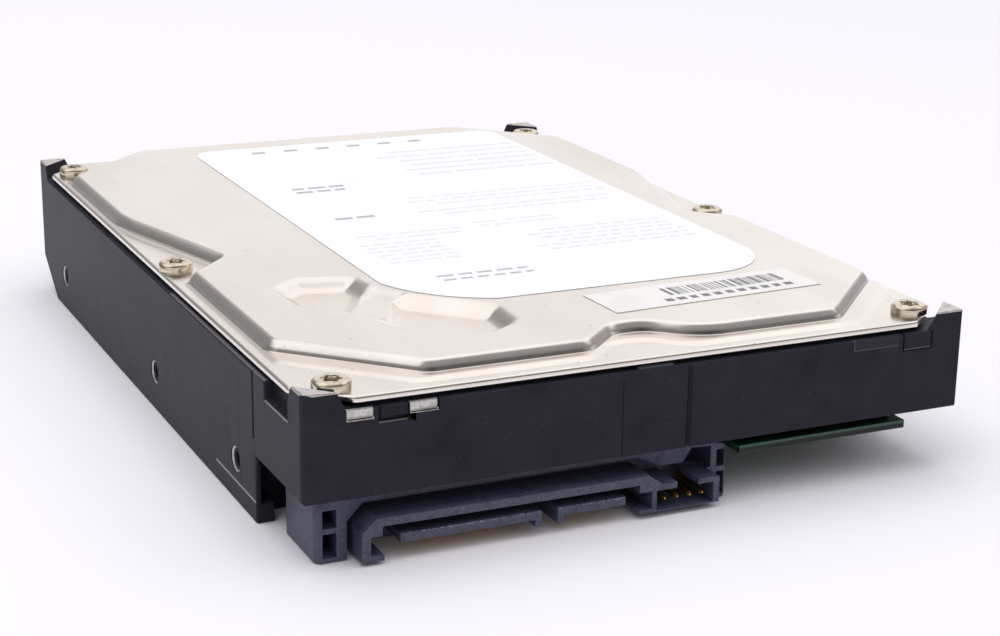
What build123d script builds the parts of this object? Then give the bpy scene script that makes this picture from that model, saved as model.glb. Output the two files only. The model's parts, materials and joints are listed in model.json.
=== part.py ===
from build123d import *
import os
from math import asin, atan2, cos, degrees, radians, sin, sqrt

os.makedirs("parts", exist_ok=True)

# A 3.5-inch hard disk drive, millimetres. The origin is under the middle of the drive, on the plane it
# rests on. The connector end faces -Y, the cover faces +Z. Plan places are measured from the left side
# and from the connector end, and at() turns them into the frame.

# ---------------------------------------------------------------- driving dimensions
# Case
width = 101.6
length = 147.0
wall_top = 22.0
deck_bottom = 9.8
deck = 1.6
front_wall = 3.2
side_wall = 3.2
rail = 6.4
rail_start = 19.4
rail_undercut = 9.6
rail_undercut_height = 6.5
post_top = 24.7
post_leg_top = 4.7
post_leg_foot = 6.0
corner_gap = 1.0

# Cover
sheet = 0.75
cover_margin = 0.5
gasket_height = 0.75
gasket_width = 1.2
step_rise = 0.35
plateau_rise = 1.8
pocket_depth = 1.5
saddle_depth = 0.7
label_thickness = 0.1
front_screw_inset = (5.8, 5.2)
rear_screw_inset = (4.4, 8.6)
middle_screw_inset = 3.3
middle_screw_lead = 28.4
corner_block = 6.0
screw_head_radius = 2.65
screw_head_height = 1.3
screw_radius = 1.2
screw_length = 6.5
boss_radius = 3.5

# Mounting holes, 6-32 thread
mount_hole_radius = 1.4
side_hole_z = 6.35
side_hole_depth = 4.5
side_hole_rows = (28.5, 70.1, length - 16.9)
bottom_hole_inset = 3.175
bottom_hole_depth = 6.0
bottom_hole_row = 41.28
bottom_hole_pitch = 44.45

# Circuit board
board_bottom = 6.95
board = 1.2
board_margin = 1.4
board_front = 1.6
board_screw_radius = 1.0
board_screw_head_radius = 2.1
board_screw_head_height = 0.9

# SATA connector
housing_left = 2.5
housing_right = 64.6
housing_face = 3.0
housing_rear = 14.3
housing_bottom = 0.3
housing_gap = 0.1
tongue_bottom = 2.55
tongue = 1.23
tongue_reach = 0.4
socket_depth = 8.0
power_tongue_left = 13.5
power_tongue_width = 20.57
tongue_gap = 2.41
signal_tongue_width = 10.41
contact_pitch = 1.27
contact_width = 0.8
contact_sheet = 0.15
jumper_pitch = 2.0
jumper_pin = 0.6
jumper_pin_level = 2.55
jumper_pin_setback = 0.4

# Spindle and platters
platter_side_wall = 2.2
platter_rear_wall = 2.4
platter_bore_radius = 12.5
platter = 1.27
platter_gap = 2.6
platter_lift = 2.8
platter_room = 1.1
hub_shoulder = 2.5
hub_seat = 1.2
hub_wall = 1.15
hub_web = 2.0
shaft_radius = 2.0
running_fit = 0.05
clamp = 1.0
clamp_screw_circle = 8.0
bracket_radius = 12.9
bracket_flange_radius = 18.5
bracket_flange = 0.8
motor_screw_edge = 1.6
rotor_magnet_wall = 0.95
air_gap = 0.4
slots = 9

# Actuator
pivot_x = 26.8
pivot_y = 42.1
park_lead = 18.0
platter_to_pivot = 11.4
stroke = 28.0
suspension_reach = 15.0
head_shortfall = 8.0
arm = 1.0
arm_root_half = 5.5
arm_tip_half = 2.4
block_radius = 8.0
sleeve_radius = 6.5
pivot_shaft_radius = 2.4
suspension = 0.15
slider_clearance = 0.15
coil_inner_radius = 17.5
coil_outer_radius = 33.5
coil_half_angle = 20.5
coil = 2.4
overmould_rim = 1.1
upper_yoke_sheet = 1.5
magnet = 1.8
magnet_gap = 0.55

# Bracket of the flex cable, over a slot in the deck
bracket_distance = 25.39
bracket_lead = 88.99
bracket_slot = 15.0
bracket_slot_width = 4.0

# Latch
latch_distance = 44.807
latch_lead = 48.38
latch_length = 18.6

# ---------------------------------------------------------------- derived levels and places
deck_top = deck_bottom + deck
rim_bottom = wall_top + gasket_height
rim_top = rim_bottom + sheet
plateau_top = rim_top + plateau_rise
board_top = board_bottom + board
platter_seat = deck_top + platter_lift
hub_seat_radius = platter_bore_radius + hub_shoulder
motor_screw_circle = bracket_flange_radius - motor_screw_edge
upper_seat = platter_seat + platter + platter_gap
stack_top = upper_seat + platter
hub_top = stack_top - 0.1
# the platters fill the case sideways, unless the actuator leaves them less room lengthways
side_fit = width / 2 - platter_side_wall - platter_room
front_room = length - platter_rear_wall - platter_room - pivot_y
pivot_offset = width / 2 - pivot_x
front_fit = (front_room**2 + pivot_offset**2 - platter_to_pivot**2) / (2 * (front_room + platter_to_pivot))
platter_radius = min(side_fit, front_fit)
spindle_y = length - platter_rear_wall - platter_room - platter_radius
middle_screw_y = spindle_y - middle_screw_lead
board_rear = spindle_y
pivot_to_spindle = sqrt(pivot_offset**2 + (spindle_y - pivot_y) ** 2)
head_reach = pivot_to_spindle - head_shortfall
arm_reach = head_reach - suspension_reach
park_angle = degrees(atan2(spindle_y - pivot_y, pivot_offset)) + park_lead
coil_park = park_angle + 180.0
arm_levels = (
    platter_seat - platter_gap / 2,
    platter_seat + platter + platter_gap / 2,
    stack_top + platter_gap / 2,
)
coil_level = arm_levels[1]
lower_magnet_top = coil_level - coil / 2 - magnet_gap
upper_magnet_bottom = coil_level + coil / 2 + magnet_gap
lower_yoke_top = lower_magnet_top - magnet
upper_yoke_bottom = upper_magnet_bottom + magnet
upper_yoke_top = upper_yoke_bottom + upper_yoke_sheet
bracket_bottom = board_bottom


def at(x, y):
    """Plan point measured from the left side and the connector end."""
    return (x - width / 2, y - length / 2)


def polar(centre, radius, angle):
    """Plan point at a radius and a bearing from a centre."""
    return (centre[0] + radius * cos(radians(angle)), centre[1] + radius * sin(radians(angle)))


def mirrored(points):
    """The same plan points on the other side of the drive, in reverse order."""
    return [(-x, y) for x, y in reversed(points)]


spindle = at(width / 2, spindle_y)
pivot = at(pivot_x, pivot_y)
latch_x, latch_y = polar((pivot_x, pivot_y), latch_distance, coil_park + latch_lead)
latch = at(latch_x, latch_y)
bracket_x, bracket_y = polar((pivot_x, pivot_y), bracket_distance, coil_park + bracket_lead)
front_screws = [at(x, front_screw_inset[1]) for x in (front_screw_inset[0], width - front_screw_inset[0])]
rear_screws = [at(x, length - rear_screw_inset[1]) for x in (rear_screw_inset[0], width - rear_screw_inset[0])]
middle_screws = [at(x, middle_screw_y) for x in (middle_screw_inset, width - middle_screw_inset)]
cover_screw_places = front_screws + middle_screws + rear_screws
board_screw_places = [
    at(10.5, 26.0),
    at(width - 10.6, 6.0),
    at(width - 10.6, 52.0),
    at(10.5, 62.0),
    at(width / 2 - 22.8, spindle_y - 4.0),
    at(width / 2 + 22.8, spindle_y - 4.0),
]


# ---------------------------------------------------------------- shared outlines
def fan(inner, outer, start, end):
    """Plan outline of a fan about the actuator pivot, between two radii and two bearings."""
    with BuildSketch() as outline:
        with BuildLine():
            near = CenterArc(pivot, inner, start, end - start)
            far = CenterArc(pivot, outer, start, end - start)
            Line(near @ 0, far @ 0)
            Line(near @ 1, far @ 1)
        make_face()
    return outline.sketch


def raised_area(left, right, front, rear, bay, notch, soft):
    """Plan outline of a raised field of the cover, with a slanting corner at each post, a bay in its front
    edge and a notch beside each middle screw. left and right give a side's margin before the notch and
    behind it, and the two margins that its front and rear corners add up to. notch gives its depth and how
    far it opens in front of the screw and behind it."""
    notch_x, notch_front, notch_rear = notch
    bay_left, bay_left_top, bay_right_top, bay_right, bay_y = bay
    outline_left, outline_right = (
        [
            at(rear_corner - rear, length - rear),
            at(side_rear, length + side_rear - rear_corner),
            at(side_rear, middle_screw_y + notch_rear),
            at(side_front + notch_x, middle_screw_y - 1.3),
            at(side_front, middle_screw_y - notch_front),
            at(side_front, front_corner - side_front),
            at(front_corner - front, front),
        ]
        for side_front, side_rear, front_corner, rear_corner in (left, right)
    )
    middle = [at(bay_left, front), at(bay_left_top, bay_y), at(bay_right_top, bay_y), at(bay_right, front)]
    with BuildSketch() as outline:
        with BuildLine():
            Polyline(*outline_left, *middle, *mirrored(outline_right), close=True)
        make_face()
        fillet(outline.vertices(), soft)
    return outline.sketch


step_bay = (42.5, 47.7, 53.5, 57.2, 7.6)
step_field = raised_area((2.2, 1.3, 19.6, 18.0), (1.2, 1.0, 18.4, 17.2), 2.8, 0.9, step_bay, (6.0, 9.5, 22.0), 0.8)
plateau_bay = (43.6, 49.4, 54.8, 61.4, 11.6)
plateau_top_field = raised_area(
    (3.75, 2.65, 26.0, 20.4), (2.6, 1.8, 24.3, 19.4), 6.3, 1.5, plateau_bay, (7.0, 8.6, 28.4), 1.5
)
with BuildSketch() as plateau_foot_field:
    add(plateau_top_field)
    offset(amount=0.5, kind=Kind.ARC, mode=Mode.REPLACE)
plateau_field = plateau_foot_field.sketch

cavity_radius = platter_radius + platter_room
with BuildSketch() as cavity_field:
    land = at(side_wall, middle_screw_y - 7.5)
    shoulder = at(side_wall + 6.3, middle_screw_y - 1.5)
    with BuildLine():
        Polyline(at(side_wall, front_wall), land, shoulder,
                 *mirrored([at(side_wall, front_wall), land, shoulder]), close=True)
    make_face()
    with Locations(spindle):
        Circle(cavity_radius)
    with Locations(*cover_screw_places):
        Circle(boss_radius, mode=Mode.SUBTRACT)
    with Locations(at(0, 0), at(width, 0)):
        Rectangle(2 * corner_block, 2 * corner_block, mode=Mode.SUBTRACT)
cavity = cavity_field.sketch

with BuildSketch() as rim_field:
    Rectangle(width - 2 * cover_margin, length - 2 * cover_margin)
    chamfer(rim_field.vertices(), post_leg_foot + corner_gap * sqrt(2) - 2 * cover_margin)
    fillet(rim_field.vertices(), 1.2)
rim = rim_field.sketch

# ---------------------------------------------------------------- base casting
with BuildPart() as base_casting:
    with BuildSketch(Plane.XY.offset(deck_bottom)):
        Rectangle(width, length)
    extrude(amount=wall_top - deck_bottom)
    # side rails down to the resting plane, short of the connector end
    rail_length = length - rail_start
    with BuildSketch():
        rail_y = length - rail_length / 2
        with Locations(at(rail / 2, rail_y), at(width - rail / 2, rail_y)):
            Rectangle(rail, rail_length)
    extrude(amount=deck_bottom)
    # slanting undercut at the far ends of the rails
    with BuildSketch(Plane.YZ):
        with BuildLine():
            far_end = length / 2
            Polyline((far_end - rail_undercut, 0), (far_end, rail_undercut_height), (far_end, 0), close=True)
        make_face()
    extrude(amount=width / 2, both=True, mode=Mode.SUBTRACT)
    # hollow for the platters and the actuator
    with BuildSketch(Plane.XY.offset(deck_top)):
        add(cavity)
    extrude(amount=wall_top - deck_top, mode=Mode.SUBTRACT)
    # corner posts, three-sided and slightly wider at the foot
    for sx, sy in ((-1, -1), (1, -1), (1, 1), (-1, 1)):
        corner = (sx * width / 2, sy * length / 2)
        for level, leg in ((wall_top, post_leg_foot), (post_top, post_leg_top)):
            with BuildSketch(Plane.XY.offset(level)):
                with BuildLine():
                    Polyline(
                        corner,
                        (corner[0] - sx * leg, corner[1]),
                        (corner[0], corner[1] - sy * leg),
                        close=True,
                    )
                make_face()
        loft()
    # raised seats that the cover is screwed down to
    with BuildSketch(Plane.XY.offset(wall_top)):
        with Locations(*cover_screw_places):
            Circle(boss_radius - gasket_width - 0.4)
    extrude(amount=gasket_height)
    # bosses that the circuit board is screwed up to
    with BuildSketch(Plane.XY.offset(board_top)):
        with Locations(*board_screw_places):
            Circle(2.6)
    extrude(amount=deck_bottom - board_top)
    # raised lip of the front wall, at its middle
    with BuildSketch(Plane.XY.offset(wall_top)):
        with Locations(at(50.9, 0.6)):
            Rectangle(5.4, 1.2)
    extrude(amount=0.45)
    # seat of the motor bracket, slot of the head connector
    with BuildSketch(Plane.XY.offset(deck_bottom)):
        with Locations(spindle):
            Circle(bracket_radius + running_fit)
        with Locations(at(bracket_x, bracket_y)):
            Rectangle(bracket_slot_width, bracket_slot)
    extrude(amount=deck, mode=Mode.SUBTRACT)
    # tapped holes: cover, board, motor bracket
    with BuildSketch(Plane.XY.offset(rim_bottom)):
        with Locations(*cover_screw_places):
            Circle(screw_radius + running_fit)
    extrude(amount=-(screw_length + 0.5), mode=Mode.SUBTRACT)
    with BuildSketch(Plane.XY.offset(board_top)):
        with Locations(*board_screw_places):
            Circle(board_screw_radius + running_fit)
    extrude(amount=deck_top - 0.4 - board_top, mode=Mode.SUBTRACT)
    with BuildSketch(Plane.XY.offset(deck_top)):
        with Locations(spindle):
            with PolarLocations(motor_screw_circle, 3, start_angle=30):
                Circle(0.8 + running_fit)
    extrude(amount=-(deck - 0.3), mode=Mode.SUBTRACT)
    # mounting holes in the rails, from below and from both sides
    with BuildSketch():
        with Locations(at(width / 2, bottom_hole_row + bottom_hole_pitch / 2)):
            with GridLocations(width - 2 * bottom_hole_inset, bottom_hole_pitch, 2, 2):
                Circle(mount_hole_radius)
    extrude(amount=bottom_hole_depth, mode=Mode.SUBTRACT)
    for side in (-1, 1):
        face = Plane(origin=(side * width / 2, 0, 0), x_dir=(0, side, 0), z_dir=(side, 0, 0))
        places = [(side * (row - length / 2), side_hole_z) for row in side_hole_rows]
        with BuildSketch(face):
            with Locations(*places):
                Circle(mount_hole_radius)
        extrude(amount=-side_hole_depth, mode=Mode.SUBTRACT)
        with BuildSketch(face):
            with Locations(*places):
                Circle(mount_hole_radius + 0.5)
        extrude(amount=-0.5, taper=44, mode=Mode.SUBTRACT)
        # the open nose of each rail and the notch behind each front post
        with BuildSketch(Plane.XY.offset(2.8)):
            with Locations(at(width / 2 + side * (width / 2 - rail / 2 - 0.4), rail_start + 2.0)):
                Rectangle(rail - 0.8, 4.0)
        extrude(amount=deck_bottom - 2.8, mode=Mode.SUBTRACT)
        with BuildSketch():
            with Locations(at(width / 2 + side * (width / 2 - rail / 2 - 1.3), rail_start + 2.0)):
                Rectangle(rail - 2.6, 4.0)
        extrude(amount=2.8, mode=Mode.SUBTRACT)
        with BuildSketch(Plane.XY.offset(19.4)):
            with Locations(at(width / 2 + side * (width / 2 - 0.8), 10.6)):
                Rectangle(1.6, 9.2)
        extrude(amount=wall_top - 19.4, mode=Mode.SUBTRACT)
        # parting lines on the side wall
        with BuildSketch(Plane.XY.offset(12.3)):
            with Locations(at(width / 2 + side * width / 2, 20.2)):
                Rectangle(0.3, 0.3)
        extrude(amount=wall_top - 12.3, mode=Mode.SUBTRACT)
    # joint line and pry recesses of the front wall
    with BuildSketch(Plane.XY.offset(deck_bottom)):
        with Locations(at(56.2, 0.0)):
            Rectangle(0.5, 0.6)
    extrude(amount=rim_bottom - deck_bottom, mode=Mode.SUBTRACT)
    for left, right, low in ((6.0, 9.7, 20.6), (14.7, 18.6, 20.6), (10.3, 15.2, 19.6)):
        with BuildSketch(Plane.XY.offset(low)):
            with Locations(at((left + right) / 2, 0.25)):
                Rectangle(right - left, 0.5)
        extrude(amount=0.6 if low < 20 else wall_top - low, mode=Mode.SUBTRACT)

base_casting.part.label = "base_casting"
export_step(base_casting.part, "parts/base_casting.step")

# ---------------------------------------------------------------- cover
with BuildSketch() as pocket_a_field:
    with BuildLine():
        Polyline(
            at(11.1, 46.4),
            at(16.2, 50.6),
            at(25.5, 48.0),
            at(26.2, 42.4),
            at(18.9, 29.3),
            at(11.5, 36.6),
            close=True,
        )
    make_face()
    fillet(pocket_a_field.vertices(), 2.2)
with BuildSketch() as pocket_b_field:
    with BuildLine():
        Polyline(
            at(26.4, 39.4),
            at(39.6, 25.9),
            at(39.1, 17.5),
            at(32.6, 13.7),
            at(22.0, 18.8),
            at(19.3, 23.9),
            close=True,
        )
    make_face()
    fillet(pocket_b_field.vertices(), 2.2)
with BuildSketch() as saddle_field:
    with BuildLine():
        Polyline(at(25.8, 42.8), at(29.9, 36.5), at(21.9, 23.1), at(16.1, 32.4), close=True)
    make_face()
pocket_a = pocket_a_field.sketch
pocket_b = pocket_b_field.sketch
saddle = saddle_field.sketch

with BuildPart() as top_cover:
    with BuildSketch(Plane.XY.offset(rim_bottom)):
        add(rim)
    extrude(amount=sheet)
    with BuildSketch(Plane.XY.offset(rim_top)):
        add(step_field)
    extrude(amount=step_rise)
    with BuildSketch(Plane.XY.offset(rim_top)):
        add(plateau_field)
    extrude(amount=plateau_rise)
    plateau_edges = top_cover.faces().filter_by(Plane.XY).sort_by(Axis.Z)[-1].outer_wire().edges()
    fillet(plateau_edges, 1.0)
    # pressed pockets over the voice coil
    for field, depth in ((pocket_a, pocket_depth), (pocket_b, pocket_depth), (saddle, saddle_depth)):
        with BuildSketch(Plane.XY.offset(plateau_top)):
            add(field)
        extrude(amount=-depth, mode=Mode.SUBTRACT)
    # the sheet follows the raised fields from below
    with BuildSketch(Plane.XY.offset(rim_bottom)) as under:
        add(plateau_field)
        offset(amount=-sheet, mode=Mode.REPLACE)
        for field in (pocket_a, pocket_b, saddle):
            add(offset(field, amount=sheet, mode=Mode.PRIVATE), mode=Mode.SUBTRACT)
    extrude(amount=plateau_rise, mode=Mode.SUBTRACT)
    with BuildSketch(Plane.XY.offset(rim_bottom)):
        with Locations(*cover_screw_places):
            Circle(screw_radius + 0.3)
    extrude(amount=sheet + step_rise, mode=Mode.SUBTRACT)

top_cover.part.label = "top_cover"
export_step(top_cover.part, "parts/top_cover.step")

with BuildPart() as cover_gasket:
    with BuildSketch(Plane.XY.offset(wall_top)):
        add(cavity)
        offset(amount=0.3 + gasket_width, kind=Kind.ARC, mode=Mode.REPLACE)
        add(offset(cavity, amount=0.3, kind=Kind.ARC, mode=Mode.PRIVATE), mode=Mode.SUBTRACT)
    extrude(amount=gasket_height)

cover_gasket.part.label = "cover_gasket"
export_step(cover_gasket.part, "parts/cover_gasket.step")

with BuildPart() as cover_screws:
    with BuildSketch(Plane.XY.offset(rim_top)):
        with Locations(*cover_screw_places):
            Circle(screw_head_radius)
    extrude(amount=screw_head_height)
    chamfer(cover_screws.faces().filter_by(Plane.XY).group_by(Axis.Z)[-1].edges(), 0.3)
    with BuildSketch(Plane.XY.offset(rim_top)):
        with Locations(*cover_screw_places):
            Circle(screw_radius)
    extrude(amount=-screw_length)
    with BuildSketch(Plane.XY.offset(rim_top + screw_head_height)):
        with Locations(*cover_screw_places):
            Circle(1.05)
            with PolarLocations(1.1, 6):
                Circle(0.33)
    extrude(amount=-1.0, mode=Mode.SUBTRACT)

cover_screws.part.label = "cover_screws"
export_step(cover_screws.part, "parts/cover_screws.step")

with BuildPart() as cover_label:
    with BuildSketch(Plane.XY.offset(plateau_top)) as sheet_outline:
        with BuildLine():
            near_left = at(27.2, 42.4)
            near_front = at(40.4, 28.6)
            ThreePointArc(near_left, at(32.6, 33.4), near_front)
            label_right = width - 12.4
            label_rear = length - 7.6
            label_corners = (at(label_right, 28.6), at(label_right, label_rear), at(27.2, label_rear))
            Polyline(near_front, *label_corners, near_left)
        make_face()
        fillet(sheet_outline.vertices().group_by(Axis.Y)[0].sort_by(Axis.X)[-1], 12.0)
        fillet(sheet_outline.vertices().group_by(Axis.Y)[-1], 4.0)
    extrude(amount=label_thickness)

cover_label.part.label = "cover_label"
export_step(cover_label.part, "parts/cover_label.step")

with BuildPart() as barcode_label:
    with BuildSketch(Plane.XY.offset(plateau_top)):
        with Locations(at(width - 31.3, 21.2)):
            Rectangle(35.6, 9.8, rotation=3.1)
    extrude(amount=label_thickness)

barcode_label.part.label = "barcode_label"
export_step(barcode_label.part, "parts/barcode_label.step")

# ---------------------------------------------------------------- circuit board
with BuildPart() as circuit_board:
    with BuildSketch(Plane.XY.offset(board_bottom)):
        board_left = rail + board_margin
        with BuildLine():
            Polyline(at(board_left, housing_rear + 0.5), at(housing_right + 1.0, housing_rear + 0.5),
                     at(housing_right + 1.0, board_front), at(width - board_left, board_front),
                     at(width - board_left, board_rear), at(board_left, board_rear), close=True)
        make_face()
        with Locations(spindle):
            Circle(bracket_radius + 2.0, mode=Mode.SUBTRACT)
        with Locations(*board_screw_places):
            Circle(board_screw_radius + 0.2, mode=Mode.SUBTRACT)
    extrude(amount=board)

circuit_board.part.label = "circuit_board"
export_step(circuit_board.part, "parts/circuit_board.step")

with BuildPart() as board_screws:
    with BuildSketch(Plane.XY.offset(board_bottom)):
        with Locations(*board_screw_places):
            Circle(board_screw_head_radius)
    extrude(amount=-board_screw_head_height)
    chamfer(board_screws.faces().filter_by(Plane.XY).group_by(Axis.Z)[0].edges(), 0.25)
    with BuildSketch(Plane.XY.offset(board_bottom)):
        with Locations(*board_screw_places):
            Circle(board_screw_radius)
    extrude(amount=deck_top - 0.7 - board_bottom)
    with BuildSketch(Plane.XY.offset(board_bottom - board_screw_head_height)):
        with Locations(*board_screw_places):
            RegularPolygon(0.9, 6)
    extrude(amount=0.6, mode=Mode.SUBTRACT)

board_screws.part.label = "board_screws"
export_step(board_screws.part, "parts/board_screws.step")

with BuildPart() as board_foam:
    with BuildSketch(Plane.XY.offset(board_top)):
        foam_left, foam_front = 18.0, 20.0
        foam_right, foam_rear = width - 21.6, spindle_y - 18.0
        with Locations(at((foam_left + foam_right) / 2, (foam_front + foam_rear) / 2)):
            RectangleRounded(foam_right - foam_left, foam_rear - foam_front, 4.0)
        with Locations(spindle):
            Circle(bracket_radius + 4.0, mode=Mode.SUBTRACT)
        with Locations(at(bracket_x, bracket_y)):
            Rectangle(bracket_slot_width + 4.0, bracket_slot + 5.0, mode=Mode.SUBTRACT)
    extrude(amount=deck_bottom - board_top)

board_foam.part.label = "board_foam"
export_step(board_foam.part, "parts/board_foam.step")

# packages on the underside of the board
with BuildPart() as controller_chip:
    with BuildSketch(Plane.XY.offset(board_bottom)):
        with Locations(at(38.0, 42.0)):
            RectangleRounded(20.0, 20.0, 0.5)
    extrude(amount=-1.4)

controller_chip.part.label = "controller_chip"
export_step(controller_chip.part, "parts/controller_chip.step")

with BuildPart() as motor_driver_chip:
    with BuildSketch(Plane.XY.offset(board_bottom)):
        with Locations(at(width / 2 + 19.2, spindle_y - 30.0)):
            RectangleRounded(10.0, 10.0, 0.4)
    extrude(amount=-1.1)

motor_driver_chip.part.label = "motor_driver_chip"
export_step(motor_driver_chip.part, "parts/motor_driver_chip.step")

with BuildPart() as memory_chip:
    with BuildSketch(Plane.XY.offset(board_bottom)):
        with Locations(at(66.0, 36.0)):
            RectangleRounded(10.2, 22.2, 0.4)
    extrude(amount=-1.1)

memory_chip.part.label = "memory_chip"
export_step(memory_chip.part, "parts/memory_chip.step")

with BuildPart() as board_small_parts:
    with BuildSketch(Plane.XY.offset(board_bottom)):
        with Locations(at(20.0, 66.0)):
            RectangleRounded(4.6, 11.2, 2.2)
    extrude(amount=-3.4)
    with BuildSketch(Plane.XY.offset(board_bottom)):
        with Locations(at(width - 17.6, 30.0), at(width - 17.6, 40.0)):
            RectangleRounded(6.0, 6.0, 1.0)
    extrude(amount=-2.8)
    with BuildSketch(Plane.XY.offset(board_bottom)):
        with Locations(at(36.0, 64.0)):
            with GridLocations(3.2, 5.0, 3, 2):
                Rectangle(1.6, 3.2)
        with Locations(at(width - 17.6, 14.0)):
            with GridLocations(4.0, 5.0, 3, 2):
                Rectangle(1.6, 3.2)
        with Locations(at(22.0, 32.0)):
            with GridLocations(3.0, 4.2, 2, 4):
                Rectangle(1.3, 2.0)
    extrude(amount=-1.0)

board_small_parts.part.label = "board_small_parts"
export_step(board_small_parts.part, "parts/board_small_parts.step")

# ---------------------------------------------------------------- SATA connector
signal_tongue_left = power_tongue_left + power_tongue_width + tongue_gap
power_left = power_tongue_left + (power_tongue_width - 14 * contact_pitch) / 2
signal_left = signal_tongue_left + (signal_tongue_width - 6 * contact_pitch) / 2
frame_left = 7.95
frame_right = 61.6
jumper_left = 51.6
jumper_right = 60.65
jumper_bottom = 1.1
jumper_top = 4.05


def front_face(y):
    """Plane at a distance from the connector end, seen from outside: x to the right, y up."""
    return Plane(origin=(0, y - length / 2, 0), x_dir=(1, 0, 0), z_dir=(0, -1, 0))


def across(*points):
    """Points in a front face plane, from the left side and the resting plane."""
    return [(x - width / 2, z) for x, z in points]


with BuildPart() as sata_housing:
    # body under the case
    with BuildSketch(front_face(housing_rear)):
        with BuildLine():
            body_outline = across(
                (housing_left, housing_bottom),
                (housing_right, housing_bottom),
                (housing_right, 8.1),
                (58.0, deck_bottom - housing_gap),
                (housing_left, deck_bottom - housing_gap),
            )
            Polyline(*body_outline, close=True)
        make_face()
    extrude(amount=housing_rear - housing_face)
    fillet(sata_housing.edges().filter_by(Axis.Z).group_by(Axis.Y)[0], 1.0)
    # recess round the plug frame
    with BuildSketch(front_face(housing_face)):
        with BuildLine():
            recess_outline = across(
                (frame_left - 1.0, -1.0),
                (frame_left - 1.0, 5.6),
                (frame_left + 1.2, 7.9),
                (50.2, 8.1),
                (53.6, 6.4),
                (housing_right - 3.3, 6.4),
                (housing_right - 3.3, -1.0),
            )
            Polyline(*recess_outline, close=True)
        make_face()
    extrude(amount=-3.0, mode=Mode.SUBTRACT)
    # plug frame, standing out to the connector end
    with BuildSketch(front_face(0)):
        with BuildLine():
            frame_outline = across(
                (frame_left, 0.6),
                (frame_left, 4.8),
                (frame_left + 2.0, 6.55),
                (50.3, 6.45),
                (52.4, 5.0),
                (frame_right, 4.75),
                (frame_right, 0.95),
                (48.9, 0.95),
                (48.9, 0.6),
            )
            Polyline(*frame_outline, close=True)
        make_face()
    extrude(amount=-socket_depth)
    # room for the plug, open downwards between the two feet
    with BuildSketch(front_face(0)):
        with BuildLine():
            plug_outline = across(
                (11.05, -1.0),
                (11.05, 1.3),
                (9.15, 1.5),
                (9.15, 4.05),
                (10.8, 4.05),
                (10.8, 5.4),
                (48.9, 5.25),
                (48.9, 4.1),
                (50.9, 4.1),
                (50.9, 1.5),
                (48.9, 1.5),
                (48.9, -1.0),
            )
            Polyline(*plug_outline, close=True)
        make_face()
    extrude(amount=-socket_depth, mode=Mode.SUBTRACT)
    # tongues with their key feet
    tongues = (
        (power_tongue_left, power_tongue_width, 1),
        (signal_tongue_left, signal_tongue_width, -1),
    )
    for left, width_of, foot in tongues:
        right = left + width_of
        tongue_top = tongue_bottom + tongue
        foot_top = tongue_bottom + 0.1
        foot_bottom = tongue_bottom - 1.05
        edge = right if foot > 0 else left
        with BuildSketch(front_face(tongue_reach)):
            with BuildLine():
                tongue_outline = across(
                    (left, tongue_bottom),
                    (left, tongue_top),
                    (right, tongue_top),
                    (right, tongue_bottom),
                )
                Polyline(*tongue_outline, close=True)
            make_face()
            with BuildLine():
                foot_outline = across(
                    (edge, foot_top),
                    (edge, foot_bottom),
                    (edge - foot * 0.95, foot_bottom),
                    (edge - foot * 0.95, foot_top),
                )
                Polyline(*foot_outline, close=True)
            make_face()
        extrude(amount=tongue_reach - socket_depth)
    # jumper block, open at the top over its middle
    with BuildSketch(front_face(0)):
        with BuildLine():
            jumper_outline = across(
                (jumper_left, jumper_bottom),
                (jumper_right, jumper_bottom),
                (jumper_right, jumper_top),
                (58.2, jumper_top),
                (58.2, 6.4),
                (54.8, 6.4),
                (54.8, jumper_top),
                (jumper_left, jumper_top),
            )
            Polyline(*jumper_outline, close=True)
        make_face()
    extrude(amount=-socket_depth, mode=Mode.SUBTRACT)
    # recess beside the right tower
    with BuildSketch(front_face(housing_face)):
        with BuildLine():
            Polyline(*across((57.0, 6.0), (58.6, 8.4), (61.8, 8.2), (61.8, 5.0), (57.0, 5.0)), close=True)
        make_face()
    extrude(amount=-5.0, mode=Mode.SUBTRACT)
    # windows of the two towers
    for left, right in ((3.55, 5.5), (62.75, 64.1)):
        for low, high in ((0.8, 4.2), (4.95, 7.5)):
            with BuildSketch(front_face(0)):
                with BuildLine():
                    Polyline(*across((left, low), (right, low), (right, high), (left, high)), close=True)
                make_face()
            extrude(amount=-socket_depth, mode=Mode.SUBTRACT)
    # slits that the contacts pass through
    for left, count in ((power_left, 15), (signal_left, 7)):
        span = (count - 1) * contact_pitch + contact_width + 0.2
        middle_x = left + (count - 1) * contact_pitch / 2
        with BuildSketch(Plane.XY.offset(tongue_bottom - contact_sheet - 0.05)):
            with Locations(at(middle_x, (socket_depth + housing_rear) / 2)):
                Rectangle(span, housing_rear - socket_depth + 0.02)
        extrude(amount=contact_sheet + 0.05, mode=Mode.SUBTRACT)

sata_housing.part.label = "sata_housing"
export_step(sata_housing.part, "parts/sata_housing.step")


def contact_row(left, count):
    """Spring contacts: along the underside of a tongue, out at the back, up to the board."""
    tail = housing_rear + 0.25
    profile_plane = Plane(origin=(0, 0, 0), x_dir=(0, 1, 0), z_dir=(1, 0, 0))
    low = tongue_bottom - contact_sheet
    back = tail - length / 2
    front = tongue_reach + 0.6 - length / 2
    foot = board_bottom - contact_sheet
    points = [
        (front, low),
        (front, tongue_bottom),
        (back, tongue_bottom),
        (back, board_bottom),
        (back + 2.4, board_bottom),
        (back + 2.4, foot),
        (back + contact_sheet, foot),
        (back + contact_sheet, low),
    ]
    with BuildPart() as row:
        for i in range(count):
            x = left + i * contact_pitch - width / 2
            with BuildSketch(profile_plane.offset(x - contact_width / 2)):
                with BuildLine():
                    Polyline(*points, close=True)
                make_face()
            extrude(amount=contact_width)
    return row


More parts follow.
